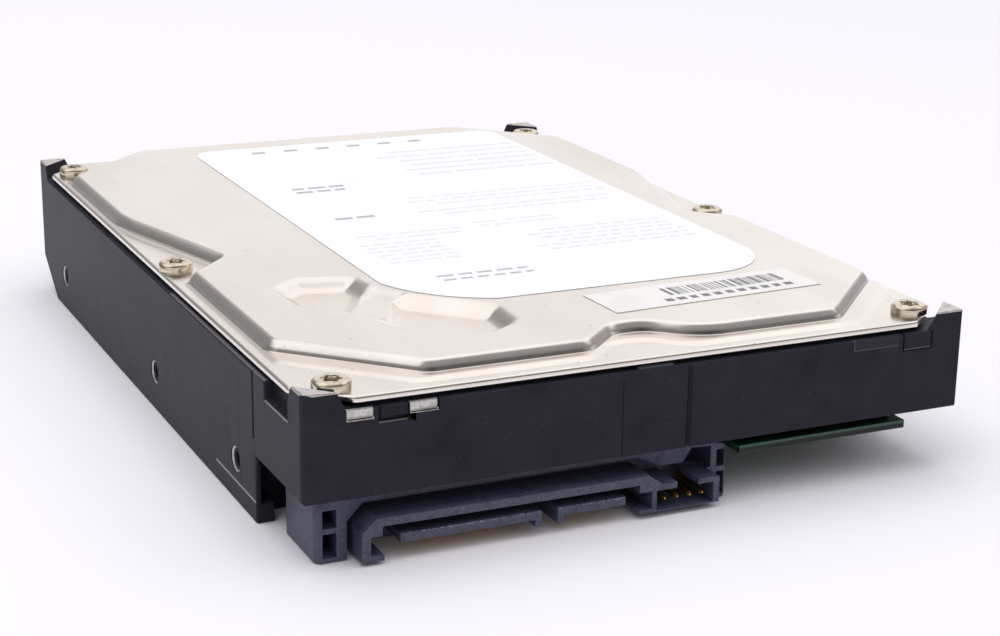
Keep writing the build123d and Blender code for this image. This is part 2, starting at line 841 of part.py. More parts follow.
power_contacts = contact_row(power_left, 15)
power_contacts.part.label = "power_contacts"
export_step(power_contacts.part, "parts/power_contacts.step")

signal_contacts = contact_row(signal_left, 7)
signal_contacts.part.label = "signal_contacts"
export_step(signal_contacts.part, "parts/signal_contacts.step")

with BuildPart() as jumper_pins:
    with BuildSketch(front_face(socket_depth)):
        for i in range(4):
            with Locations(((jumper_left + jumper_right) / 2 + (i - 1.5) * jumper_pitch - width / 2, jumper_pin_level)):
                Rectangle(jumper_pin, jumper_pin)
    extrude(amount=socket_depth - jumper_pin_setback)

jumper_pins.part.label = "jumper_pins"
export_step(jumper_pins.part, "parts/jumper_pins.step")

# ---------------------------------------------------------------- spindle motor
hub_radius = platter_bore_radius - running_fit
rotor_radius = hub_radius - hub_wall
rotor_bore = rotor_radius - rotor_magnet_wall
stator_radius = rotor_bore - air_gap
stator_post = 4.95
stator_ring = 6.3
stator_bottom = platter_seat - 0.8
stator_top = stator_bottom + 2.0
bearing_radius = 3.0

with BuildPart() as motor_bracket:
    with BuildSketch(Plane.XY.offset(bracket_bottom)):
        with Locations(spindle):
            Circle(bracket_radius)
    extrude(amount=deck_top - bracket_bottom)
    with BuildSketch(Plane.XY.offset(deck_top)):
        with Locations(spindle):
            Circle(bracket_flange_radius)
    extrude(amount=bracket_flange)
    with BuildSketch(Plane.XY.offset(deck_top + bracket_flange)):
        with Locations(spindle):
            Circle(stator_radius + 0.6)
    extrude(amount=-2.4, mode=Mode.SUBTRACT)
    with BuildSketch(Plane.XY.offset(deck_top + bracket_flange - 2.4)):
        with Locations(spindle):
            Circle(stator_post + 0.6)
    extrude(amount=stator_bottom - deck_top - bracket_flange + 2.4)
    with BuildSketch(Plane.XY.offset(stator_bottom)):
        with Locations(spindle):
            Circle(stator_post)
    extrude(amount=stator_top - stator_bottom)
    with BuildSketch(Plane.XY.offset(bracket_bottom + 1.2)):
        with Locations(spindle):
            Circle(bearing_radius + running_fit / 5)
    extrude(amount=stator_top - bracket_bottom, mode=Mode.SUBTRACT)
    with BuildSketch(Plane.XY.offset(deck_top + bracket_flange)):
        with Locations(spindle):
            with PolarLocations(motor_screw_circle, 3, start_angle=30):
                Circle(0.95)
    extrude(amount=-bracket_flange, mode=Mode.SUBTRACT)

motor_bracket.part.label = "motor_bracket"
export_step(motor_bracket.part, "parts/motor_bracket.step")

with BuildPart() as motor_screws:
    with BuildSketch(Plane.XY.offset(deck_top + bracket_flange)):
        with Locations(spindle):
            with PolarLocations(motor_screw_circle, 3, start_angle=30):
                Circle(1.4)
    extrude(amount=0.8)
    with BuildSketch(Plane.XY.offset(deck_top + bracket_flange)):
        with Locations(spindle):
            with PolarLocations(motor_screw_circle, 3, start_angle=30):
                Circle(0.8)
    extrude(amount=-(bracket_flange + 1.0))

motor_screws.part.label = "motor_screws"
export_step(motor_screws.part, "parts/motor_screws.step")

with BuildPart() as bearing_sleeve:
    with BuildSketch(Plane.XY.offset(bracket_bottom + 1.2)):
        with Locations(spindle):
            Circle(bearing_radius)
            Circle(shaft_radius + running_fit, mode=Mode.SUBTRACT)
    extrude(amount=stator_top - bracket_bottom - 1.2)

bearing_sleeve.part.label = "bearing_sleeve"
export_step(bearing_sleeve.part, "parts/bearing_sleeve.step")

with BuildPart() as stator_core:
    with BuildSketch(Plane.XY.offset(stator_bottom)):
        with Locations(spindle):
            Circle(stator_ring)
            with PolarLocations((stator_ring + stator_radius - 0.4) / 2, slots):
                Rectangle(stator_radius - stator_ring, 1.4)
            with PolarLocations(stator_radius - 0.5, slots):
                Rectangle(1.0, 4.6)
            Circle(stator_post + running_fit, mode=Mode.SUBTRACT)
    extrude(amount=stator_top - stator_bottom)
    with BuildSketch(Plane.XY.offset(stator_bottom)):
        with Locations(spindle):
            Circle(stator_radius)
    extrude(amount=stator_top - stator_bottom, mode=Mode.INTERSECT)

stator_core.part.label = "stator_core"
export_step(stator_core.part, "parts/stator_core.step")

with BuildPart() as stator_coils:
    coil_low = stator_bottom - 0.55
    coil_high = stator_top + 0.55
    with BuildSketch(Plane.XY.offset(coil_low)):
        with Locations(spindle):
            with PolarLocations((stator_ring + stator_radius - 1.0) / 2, slots):
                Rectangle(stator_radius - stator_ring - 1.3, 2.9)
    extrude(amount=coil_high - coil_low)
    with BuildSketch(Plane.XY.offset(stator_bottom - 0.03)):
        with Locations(spindle):
            with PolarLocations((stator_ring + stator_radius - 1.0) / 2, slots):
                Rectangle(stator_radius - stator_ring, 1.46)
    extrude(amount=stator_top - stator_bottom + 0.06, mode=Mode.SUBTRACT)

stator_coils.part.label = "stator_coils"
export_step(stator_coils.part, "parts/stator_coils.step")

with BuildPart() as motor_flex:
    with BuildSketch(Plane.XY.offset(bracket_bottom - 0.2)):
        with Locations(spindle):
            Circle(4.2)
        with Locations((spindle[0], spindle[1] - (bracket_radius + 5.0) / 2)):
            Rectangle(5.0, bracket_radius + 5.0)
    extrude(amount=0.2)

motor_flex.part.label = "motor_flex"
export_step(motor_flex.part, "parts/motor_flex.step")

with BuildPart() as spindle_hub:
    with BuildSketch(Plane.XY.offset(platter_seat - hub_seat)):
        with Locations(spindle):
            Circle(hub_seat_radius)
    extrude(amount=hub_seat)
    with BuildSketch(Plane.XY.offset(platter_seat)):
        with Locations(spindle):
            Circle(hub_radius)
    extrude(amount=hub_top - platter_seat)
    with BuildSketch(Plane.XY.offset(platter_seat - hub_seat)):
        with Locations(spindle):
            Circle(rotor_radius)
    extrude(amount=hub_top - hub_web - platter_seat + hub_seat, mode=Mode.SUBTRACT)
    with BuildSketch(Plane.XY.offset(hub_top - hub_web)):
        with Locations(spindle):
            Circle(shaft_radius)
            with PolarLocations(clamp_screw_circle, 6):
                Circle(0.8 + running_fit)
    extrude(amount=hub_web, mode=Mode.SUBTRACT)

spindle_hub.part.label = "spindle_hub"
export_step(spindle_hub.part, "parts/spindle_hub.step")

with BuildPart() as spindle_shaft:
    with BuildSketch(Plane.XY.offset(bracket_bottom + 1.2 + running_fit)):
        with Locations(spindle):
            Circle(shaft_radius)
    extrude(amount=hub_top - bracket_bottom - 1.2 - running_fit)

spindle_shaft.part.label = "spindle_shaft"
export_step(spindle_shaft.part, "parts/spindle_shaft.step")

with BuildPart() as rotor_magnet:
    with BuildSketch(Plane.XY.offset(platter_seat - hub_seat + 0.2)):
        with Locations(spindle):
            Circle(rotor_radius)
            Circle(rotor_bore, mode=Mode.SUBTRACT)
    extrude(amount=stator_top - platter_seat + hub_seat + 0.4)

rotor_magnet.part.label = "rotor_magnet"
export_step(rotor_magnet.part, "parts/rotor_magnet.step")


def platter_disk(level):
    """One platter, standing on a level."""
    with BuildPart() as disk:
        with BuildSketch(Plane.XY.offset(level)):
            with Locations(spindle):
                Circle(platter_radius)
                Circle(platter_bore_radius, mode=Mode.SUBTRACT)
        extrude(amount=platter)
        chamfer(disk.edges().filter_by(GeomType.CIRCLE).group_by(SortBy.RADIUS)[-1], 0.15)
    return disk


lower_platter = platter_disk(platter_seat)
lower_platter.part.label = "lower_platter"
export_step(lower_platter.part, "parts/lower_platter.step")

upper_platter = platter_disk(upper_seat)
upper_platter.part.label = "upper_platter"
export_step(upper_platter.part, "parts/upper_platter.step")

with BuildPart() as platter_spacer:
    with BuildSketch(Plane.XY.offset(platter_seat + platter)):
        with Locations(spindle):
            Circle(hub_seat_radius)
            Circle(platter_bore_radius, mode=Mode.SUBTRACT)
    extrude(amount=platter_gap)

platter_spacer.part.label = "platter_spacer"
export_step(platter_spacer.part, "parts/platter_spacer.step")

with BuildPart() as disk_clamp:
    with BuildSketch(Plane.XY.offset(stack_top)):
        with Locations(spindle):
            Circle(hub_seat_radius)
            Circle(4.0, mode=Mode.SUBTRACT)
            with PolarLocations(clamp_screw_circle, 6):
                Circle(0.95, mode=Mode.SUBTRACT)
            with PolarLocations(clamp_screw_circle + 4.0, 6, start_angle=30):
                Circle(0.8, mode=Mode.SUBTRACT)
    extrude(amount=clamp)

disk_clamp.part.label = "disk_clamp"
export_step(disk_clamp.part, "parts/disk_clamp.step")

with BuildPart() as clamp_screws:
    with BuildSketch(Plane.XY.offset(stack_top + clamp)):
        with Locations(spindle):
            with PolarLocations(clamp_screw_circle, 6):
                Circle(1.6)
    extrude(amount=0.8)
    with BuildSketch(Plane.XY.offset(stack_top + clamp)):
        with Locations(spindle):
            with PolarLocations(clamp_screw_circle, 6):
                Circle(0.8)
    extrude(amount=-(clamp + hub_web - 0.3))
    with BuildSketch(Plane.XY.offset(stack_top + clamp + 0.8)):
        with Locations(spindle):
            with PolarLocations(clamp_screw_circle, 6):
                RegularPolygon(0.75, 6)
    extrude(amount=-0.5, mode=Mode.SUBTRACT)

clamp_screws.part.label = "clamp_screws"
export_step(clamp_screws.part, "parts/clamp_screws.step")

# ---------------------------------------------------------------- actuator: fixed parts
# Bearings about the pivot. The coil points away from the heads, between two magnets.
overmould_half = coil_half_angle + 2.2
overmould_radius = coil_outer_radius + overmould_rim
stop_circle = 27.0
stop_pin = 1.0
stop_rubber = 1.6
stop_clearance = 0.3
stop_lead = overmould_half + degrees(asin((stop_rubber + stop_clearance) / stop_circle))
stops = [
    polar(pivot, stop_circle, coil_park - stop_lead),
    polar(pivot, stop_circle, coil_park + stroke + stop_lead),
]
magnet_start = coil_park - overmould_half + 1.0
magnet_end = coil_park + stroke + overmould_half - 1.0
magnet_plan = fan(coil_inner_radius - 1.0, coil_outer_radius + 0.5, magnet_start, magnet_end)
yoke_inner_radius = block_radius + 3.0
yoke_outer_radius = overmould_radius + 1.2
yoke_start = coil_park - stop_lead - 6.0
yoke_end = coil_park + stroke + stop_lead + 6.0
yoke_plan = fan(yoke_inner_radius, yoke_outer_radius, yoke_start, yoke_end)

with BuildPart() as lower_yoke:
    with BuildSketch(Plane.XY.offset(deck_top)):
        add(yoke_plan)
        with Locations(*stops):
            Circle(stop_pin, mode=Mode.SUBTRACT)
    extrude(amount=lower_yoke_top - deck_top)

lower_yoke.part.label = "lower_yoke"
export_step(lower_yoke.part, "parts/lower_yoke.step")

with BuildPart() as upper_yoke:
    with BuildSketch(Plane.XY.offset(upper_yoke_bottom)):
        add(yoke_plan)
        with Locations(*stops):
            Circle(0.6, mode=Mode.SUBTRACT)
    extrude(amount=upper_yoke_sheet)

upper_yoke.part.label = "upper_yoke"
export_step(upper_yoke.part, "parts/upper_yoke.step")

with BuildPart() as lower_magnet:
    with BuildSketch(Plane.XY.offset(lower_yoke_top)):
        add(magnet_plan)
    extrude(amount=magnet)

lower_magnet.part.label = "lower_magnet"
export_step(lower_magnet.part, "parts/lower_magnet.step")

with BuildPart() as upper_magnet:
    with BuildSketch(Plane.XY.offset(upper_magnet_bottom)):
        add(magnet_plan)
    extrude(amount=magnet)

upper_magnet.part.label = "upper_magnet"
export_step(upper_magnet.part, "parts/upper_magnet.step")

with BuildPart() as yoke_posts:
    with BuildSketch(Plane.XY.offset(deck_top)):
        with Locations(*stops):
            Circle(stop_pin)
    extrude(amount=upper_yoke_bottom - deck_top)
    with BuildSketch(Plane.XY.offset(upper_yoke_bottom)):
        with Locations(*stops):
            Circle(0.55)
    extrude(amount=upper_yoke_sheet)

yoke_posts.part.label = "yoke_posts"
export_step(yoke_posts.part, "parts/yoke_posts.step")

with BuildPart() as yoke_nuts:
    with BuildSketch(Plane.XY.offset(upper_yoke_top)):
        with Locations(*stops):
            Circle(1.7)
    extrude(amount=0.6)

yoke_nuts.part.label = "yoke_nuts"
export_step(yoke_nuts.part, "parts/yoke_nuts.step")

with BuildPart() as crash_stops:
    with BuildSketch(Plane.XY.offset(lower_yoke_top)):
        with Locations(*stops):
            Circle(stop_rubber)
            Circle(stop_pin + running_fit, mode=Mode.SUBTRACT)
    extrude(amount=upper_yoke_bottom - lower_yoke_top)

crash_stops.part.label = "crash_stops"
export_step(crash_stops.part, "parts/crash_stops.step")

pivot_foot = 0.5
shaft_top = arm_levels[2] + 1.2
bearing_width = 2.5
bearing_levels = (deck_top + pivot_foot + 0.4, shaft_top - bearing_width - 0.3)
inner_race_radius = 3.5
ball_radius = 0.6
ball_circle = inner_race_radius + ball_radius + 0.1
outer_race_inner = ball_circle + ball_radius + 0.1
outer_race_radius = sleeve_radius - 0.6

with BuildPart() as pivot_shaft:
    with BuildSketch(Plane.XY.offset(deck_top)):
        with Locations(pivot):
            Circle(block_radius - 3.0)
    extrude(amount=pivot_foot)
    with BuildSketch(Plane.XY.offset(deck_top)):
        with Locations(pivot):
            Circle(pivot_shaft_radius)
    extrude(amount=shaft_top - deck_top)
    with BuildSketch(Plane.XY.offset(shaft_top)):
        with Locations(pivot):
            Circle(1.05)
    extrude(amount=-5.0, mode=Mode.SUBTRACT)

pivot_shaft.part.label = "pivot_shaft"
export_step(pivot_shaft.part, "parts/pivot_shaft.step")

with BuildPart() as pivot_screw:
    with BuildSketch(Plane.XY.offset(shaft_top)):
        with Locations(pivot):
            Circle(pivot_shaft_radius)
    extrude(amount=0.7)
    with BuildSketch(Plane.XY.offset(shaft_top)):
        with Locations(pivot):
            Circle(1.0)
    extrude(amount=-4.5)
    with BuildSketch(Plane.XY.offset(shaft_top + 0.7)):
        with Locations(pivot):
            RegularPolygon(1.0, 6)
    extrude(amount=-0.5, mode=Mode.SUBTRACT)

pivot_screw.part.label = "pivot_screw"
export_step(pivot_screw.part, "parts/pivot_screw.step")

with BuildPart() as bearing_inner_races:
    for level in bearing_levels:
        with BuildSketch(Plane.XY.offset(level)):
            with Locations(pivot):
                Circle(inner_race_radius)
                Circle(pivot_shaft_radius + running_fit / 2, mode=Mode.SUBTRACT)
        extrude(amount=bearing_width)

bearing_inner_races.part.label = "bearing_inner_races"
export_step(bearing_inner_races.part, "parts/bearing_inner_races.step")

with BuildPart() as bearing_balls:
    for level in bearing_levels:
        with Locations(Plane.XY.offset(level + bearing_width / 2)):
            with Locations(pivot):
                with PolarLocations(ball_circle, 9):
                    Sphere(ball_radius)

bearing_balls.part.label = "bearing_balls"
export_step(bearing_balls.part, "parts/bearing_balls.step")

# ---------------------------------------------------------------- actuator: moving parts
with BuildPart() as bearing_outer_races:
    for level in bearing_levels:
        with BuildSketch(Plane.XY.offset(level)):
            with Locations(pivot):
                Circle(outer_race_radius)
                Circle(outer_race_inner, mode=Mode.SUBTRACT)
        extrude(amount=bearing_width)

bearing_outer_races.part.label = "bearing_outer_races"
export_step(bearing_outer_races.part, "parts/bearing_outer_races.step")

block_bottom = deck_top + pivot_foot + 0.3
block_top = shaft_top - 0.2

with BuildPart() as pivot_sleeve:
    with BuildSketch(Plane.XY.offset(block_bottom)):
        with Locations(pivot):
            Circle(sleeve_radius)
            Circle(outer_race_radius + running_fit / 2, mode=Mode.SUBTRACT)
    extrude(amount=block_top - block_bottom)

pivot_sleeve.part.label = "pivot_sleeve"
export_step(pivot_sleeve.part, "parts/pivot_sleeve.step")

# plan frame of the arms at park: x towards the heads
arm_frame = Plane(
    origin=(*pivot, 0),
    x_dir=(cos(radians(park_angle)), sin(radians(park_angle)), 0),
    z_dir=(0, 0, 1),
)

with BuildPart() as arm_block:
    with BuildSketch(arm_frame.offset(block_bottom)):
        Circle(block_radius)
    extrude(amount=block_top - block_bottom)
    for level in arm_levels:
        with BuildSketch(arm_frame.offset(level - arm / 2)):
            with BuildLine():
                Polyline(
                    (0, -arm_root_half),
                    (arm_reach, -arm_tip_half),
                    (arm_reach, arm_tip_half),
                    (0, arm_root_half),
                    close=True,
                )
            make_face()
            with Locations((15.0, 0)):
                Circle(2.6, mode=Mode.SUBTRACT)
            with Locations((22.0, 0)):
                Circle(1.9, mode=Mode.SUBTRACT)
        extrude(amount=arm)
    with BuildSketch(arm_frame.offset(block_bottom)):
        Circle(sleeve_radius + running_fit / 2)
    extrude(amount=block_top - block_bottom, mode=Mode.SUBTRACT)

arm_block.part.label = "arm_block"
export_step(arm_block.part, "parts/arm_block.step")

# each platter face has a load beam and a slider, carried by the arm next to it
head_faces = ((arm_levels[0], 1), (arm_levels[1], -1), (arm_levels[1], 1), (arm_levels[2], -1))

with BuildPart() as load_beams:
    for level, up in head_faces:
        with BuildSketch(arm_frame.offset(level + up * arm / 2)):
            with BuildLine():
                Polyline(
                    (arm_reach - 4.0, -arm_tip_half),
                    (arm_reach + 1.0, -arm_tip_half),
                    (head_reach + 1.2, -0.7),
                    (head_reach + 1.2, 0.7),
                    (arm_reach + 1.0, arm_tip_half),
                    (arm_reach - 4.0, arm_tip_half),
                    close=True,
                )
            make_face()
        extrude(amount=up * suspension)

load_beams.part.label = "load_beams"
export_step(load_beams.part, "parts/load_beams.step")

with BuildPart() as head_sliders:
    slider = platter_gap / 2 - arm / 2 - suspension - slider_clearance
    for level, up in head_faces:
        with BuildSketch(arm_frame.offset(level + up * (arm / 2 + suspension))):
            with Locations((head_reach, 0)):
                Rectangle(1.25, 1.0)
        extrude(amount=up * slider)

head_sliders.part.label = "head_sliders"
export_step(head_sliders.part, "parts/head_sliders.step")

with BuildPart() as voice_coil:
    with BuildSketch(Plane.XY.offset(coil_level - coil / 2)):
        coil_span = (coil_park - coil_half_angle, coil_park + coil_half_angle)
        add(fan(coil_inner_radius, coil_outer_radius, *coil_span))
        add(fan(coil_inner_radius + 4.0, coil_outer_radius - 4.0, coil_park - coil_half_angle + 9.0,
                coil_park + coil_half_angle - 9.0), mode=Mode.SUBTRACT)
    extrude(amount=coil)

voice_coil.part.label = "voice_coil"
export_step(voice_coil.part, "parts/voice_coil.step")

with BuildPart() as coil_overmould:
    with BuildSketch(Plane.XY.offset(coil_level - coil / 2 + 0.1)):
        overmould_span = (coil_park - overmould_half, coil_park + overmould_half)
        add(fan(block_radius + running_fit, overmould_radius, *overmould_span))
        with Locations(polar(pivot, overmould_radius, coil_park + overmould_half - 3.0)):
            Circle(1.0)
        hole_span = (coil_park - coil_half_angle - 0.1, coil_park + coil_half_angle + 0.1)
        coil_hole = fan(coil_inner_radius - running_fit, coil_outer_radius + running_fit, *hole_span)
        add(coil_hole, mode=Mode.SUBTRACT)
    extrude(amount=coil - 0.2)

coil_overmould.part.label = "coil_overmould"
export_step(coil_overmould.part, "parts/coil_overmould.step")

with BuildPart() as preamp_board:
    with BuildSketch(arm_frame.offset(block_bottom + 1.0)):
        with Locations((0, -block_radius - 0.3)):
            Rectangle(9.0, 0.4)
    extrude(amount=block_top - block_bottom - 2.0)
    with BuildSketch(arm_frame.offset(coil_level - 1.2)):
        with Locations((-1.0, -block_radius - 0.8)):
            Rectangle(3.4, 0.6)
    extrude(amount=2.4)

preamp_board.part.label = "preamp_board"
export_step(preamp_board.part, "parts/preamp_board.step")

# ---------------------------------------------------------------- flex cable and its bracket
flex_sheet = 0.2
flex_post_x = bracket_x - 3.0

with BuildPart() as flex_bracket:
    with BuildSketch(Plane.XY.offset(deck_top)):
        with Locations(at(bracket_x, bracket_y)):
            RectangleRounded(bracket_slot_width + 5.0, bracket_slot + 2.0, 1.5)
    extrude(amount=1.2)
    with BuildSketch(Plane.XY.offset(deck_top)):
        with Locations(at(bracket_x, bracket_y)):
            Rectangle(bracket_slot_width - 2 * running_fit, bracket_slot - 2 * running_fit)
    extrude(amount=-deck)
    with BuildSketch(Plane.XY.offset(deck_top)):
        with Locations(at(flex_post_x, bracket_y)):
            Rectangle(1.4, 8.0)
    extrude(amount=coil_level + 3.2 - deck_top)

flex_bracket.part.label = "flex_bracket"
export_step(flex_bracket.part, "parts/flex_bracket.step")

with BuildPart() as head_connector:
    with BuildSketch(Plane.XY.offset(board_top)):
        with Locations(at(bracket_x, bracket_y)):
            Rectangle(bracket_slot_width + 1.0, bracket_slot + 1.0)
    extrude(amount=deck_bottom - board_top)

head_connector.part.label = "head_connector"
export_step(head_connector.part, "parts/head_connector.step")

with BuildPart() as flex_cable:
    flex_start = arm_frame.from_local_coords((1.4, -block_radius - 0.64, 0))
    flex_end = at(flex_post_x - 0.7 - flex_sheet / 2, bracket_y)
    with BuildLine(Plane.XY.offset(coil_level - 2.8)) as flex_route:
        FilletPolyline(
            (flex_start.X, flex_start.Y),
            at(bracket_x - 14.4, bracket_y + 8.0),
            at(bracket_x - 6.6, bracket_y + 8.2),
            (flex_end[0], flex_end[1] + 3.6),
            flex_end,
            radius=1.9,
        )
    with BuildSketch(Plane.XY.offset(coil_level - 2.8)):
        trace(flex_route.line, flex_sheet)
    extrude(amount=5.6)

flex_cable.part.label = "flex_cable"
export_step(flex_cable.part, "parts/flex_cable.step")

# ---------------------------------------------------------------- latch
latch_level = coil_level - 1.0
latch_angle = coil_park - 75.6

with BuildPart() as latch_pin:
    with BuildSketch(Plane.XY.offset(deck_top)):
        with Locations(latch):
            Circle(2.6)
    extrude(amount=0.4)
    with BuildSketch(Plane.XY.offset(deck_top)):
        with Locations(latch):
            Circle(1.2)
    extrude(amount=latch_level + 3.2 - deck_top)

latch_pin.part.label = "latch_pin"
export_step(latch_pin.part, "parts/latch_pin.step")

with BuildPart() as latch_lever:
    with BuildSketch(Plane.XY.offset(deck_top + 0.5)):
        with Locations(latch):
            Circle(2.8)
    extrude(amount=latch_level + 2.4 - deck_top - 0.5)
    tip = polar(latch, latch_length, latch_angle)
    with BuildSketch(Plane.XY.offset(latch_level)):
        with BuildLine():
            bar = Line(latch, tip)
        trace(bar, 1.8)
        with Locations(polar(tip, 0.9, latch_angle - 90.0)):
            Rectangle(1.2, 1.8, rotation=latch_angle)
        # counterweight
        with Locations(polar(latch, 5.0, latch_angle + 180.0)):
            Circle(3.4)
    extrude(amount=2.0)
    with BuildSketch(Plane.XY.offset(deck_top)):
        with Locations(latch):
            Circle(1.2 + running_fit)
    extrude(amount=latch_level + 3.2 - deck_top, mode=Mode.SUBTRACT)

latch_lever.part.label = "latch_lever"
export_step(latch_lever.part, "parts/latch_lever.step")

# ---------------------------------------------------------------- filters
with BuildPart() as recirculation_filter:
    with BuildSketch(Plane.XY.offset(deck_top)):
        with Locations(at(width - 11.5, middle_screw_y - 12.0)):
            RectangleRounded(4.0, 10.0, 1.2, rotation=-45)
    extrude(amount=9.0)

recirculation_filter.part.label = "recirculation_filter"
export_step(recirculation_filter.part, "parts/recirculation_filter.step")

with BuildPart() as breather_filter:
    with BuildSketch(Plane.XY.offset(deck_top)):
        filter_left = latch_x + 16.0
        filter_right = width - 10.6
        with Locations(at((filter_left + filter_right) / 2, 14.0)):
            RectangleRounded(filter_right - filter_left, 14.0, 2.0)
    extrude(amount=6.0)
    fillet(breather_filter.faces().filter_by(Plane.XY).sort_by(Axis.Z)[-1].edges(), 0.8)

breather_filter.part.label = "breather_filter"
export_step(breather_filter.part, "parts/breather_filter.step")
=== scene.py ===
"""Looks of a 3.5-inch hard disk drive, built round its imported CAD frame.

Lengths in this file are millimetres unless a name says otherwise; MM turns them into the frame's metres.
Plan places are measured from the drive's left side and from its connector end, and heights from the plane
that it rests on; in_frame() turns such places into the frame.
"""
import json
import math
import random
from contextlib import contextmanager
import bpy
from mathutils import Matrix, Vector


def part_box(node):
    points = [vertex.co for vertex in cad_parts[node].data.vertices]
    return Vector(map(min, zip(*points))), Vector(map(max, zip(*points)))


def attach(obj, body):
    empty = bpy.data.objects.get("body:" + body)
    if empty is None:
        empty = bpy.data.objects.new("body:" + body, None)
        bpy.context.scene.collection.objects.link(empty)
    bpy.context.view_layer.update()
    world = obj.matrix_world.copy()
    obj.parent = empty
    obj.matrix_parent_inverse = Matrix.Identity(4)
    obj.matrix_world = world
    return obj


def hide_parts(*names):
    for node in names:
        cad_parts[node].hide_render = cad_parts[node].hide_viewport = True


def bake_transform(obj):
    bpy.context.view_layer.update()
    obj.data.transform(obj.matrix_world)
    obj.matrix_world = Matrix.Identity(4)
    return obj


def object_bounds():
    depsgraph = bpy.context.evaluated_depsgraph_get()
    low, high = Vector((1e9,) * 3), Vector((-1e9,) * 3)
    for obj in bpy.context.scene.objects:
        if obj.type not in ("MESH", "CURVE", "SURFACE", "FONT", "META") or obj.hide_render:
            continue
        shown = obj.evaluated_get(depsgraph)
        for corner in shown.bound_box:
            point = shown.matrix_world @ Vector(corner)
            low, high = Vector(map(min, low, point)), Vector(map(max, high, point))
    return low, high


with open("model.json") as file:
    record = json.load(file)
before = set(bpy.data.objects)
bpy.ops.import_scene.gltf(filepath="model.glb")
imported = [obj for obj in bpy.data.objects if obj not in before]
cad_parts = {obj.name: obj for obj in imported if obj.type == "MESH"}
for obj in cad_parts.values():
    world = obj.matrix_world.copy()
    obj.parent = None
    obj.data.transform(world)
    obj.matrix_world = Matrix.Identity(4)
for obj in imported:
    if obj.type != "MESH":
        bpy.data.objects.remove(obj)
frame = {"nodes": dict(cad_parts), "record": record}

from types import SimpleNamespace

import bmesh
import bpy
import numpy as np
from mathutils import Matrix, Vector
from mathutils.geometry import delaunay_2d_cdt

CAD_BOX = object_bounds()
MM = 0.001
NODES = frame["nodes"]
RECORD = frame["record"]
BODY_OF = {node: body for body, nodes in RECORD["behaviour"]["bodies"].items() for node in nodes}

# ------------------------------------------------------------------ sizes read from the frame
FRAME_CORNER = np.array(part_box("base_casting")[0]) / MM
WIDTH, LENGTH, POST_TOP = np.array(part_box("base_casting")[1]) / MM - FRAME_CORNER


def box_of(name):
    """Lowest and highest corner of a CAD node, as places that in_frame() takes."""
    return tuple(np.array(corner) / MM - FRAME_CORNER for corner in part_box(name))


def in_frame(points):
    """Points from the left side, the connector end and the resting plane, in the frame's metres."""
    return (np.asarray(points, float) + FRAME_CORNER) * MM


COVER_LOW, COVER_HIGH = box_of("top_cover")
RIM_BOTTOM, PLATEAU_TOP = COVER_LOW[2], COVER_HIGH[2]
PLATTER_LOW, PLATTER_HIGH = box_of("upper_platter")
SPINDLE = (PLATTER_LOW + PLATTER_HIGH) / 2
SCREWS_LOW, SCREWS_HIGH = box_of("cover_screws")

SHEET = 0.75
RIM_TOP = RIM_BOTTOM + SHEET
WALL_TOP = box_of("cover_gasket")[0][2]
HEAD_RADIUS = 2.65
MIDDLE_SCREWS_BEFORE_SPINDLE = 28.4
MIDDLE_SCREW_X = SCREWS_LOW[0] + HEAD_RADIUS
FRONT_SCREW_Y = SCREWS_LOW[1] + HEAD_RADIUS
MIDDLE_SCREW_Y = SPINDLE[1] - MIDDLE_SCREWS_BEFORE_SPINDLE
REAR_SCREW_Y = SCREWS_HIGH[1] - HEAD_RADIUS
FRONT_SCREW_X, REAR_SCREW_X = 5.8, 4.4
SCREW_PLACES = [place for x, y in ((FRONT_SCREW_X, FRONT_SCREW_Y), (MIDDLE_SCREW_X, MIDDLE_SCREW_Y),
                                   (REAR_SCREW_X, REAR_SCREW_Y)) for place in ((x, y), (WIDTH - x, y))]


# ------------------------------------------------------------------ colours and shader nodes
def linear(text):
    """sRGB hex colour as the linear colour that a shader takes."""
    parts = [int(text[i:i + 2], 16) / 255 for i in (1, 3, 5)]
    return tuple(c / 12.92 if c <= 0.04045 else ((c + 0.055) / 1.055) ** 2.4 for c in parts) + (1.0,)


def add(tree, kind, inputs=None, stops=(), **settings):
    """Adds a node of a kind to a tree, with its settings, its colour stops, its values and what feeds it."""
    item = tree.nodes.new(kind)
    for name, value in settings.items():
        setattr(item, name, value)
    if stops:
        elements = item.color_ramp.elements
        while len(elements) < len(stops):
            elements.new(0.5)
        for element, (place, tone) in zip(elements, stops):
            element.position = place
            element.color = linear(tone) if isinstance(tone, str) else (tone, tone, tone, 1.0)
    for name, value in (inputs or {}).items():
        if isinstance(value, bpy.types.NodeSocket):
            tree.links.new(value, item.inputs[name])
        else:
            colour = isinstance(value, str) and value.startswith("#")
            item.inputs[name].default_value = linear(value) if colour else value
    return item


# ------------------------------------------------------------------ finishes
FINISHES = {}


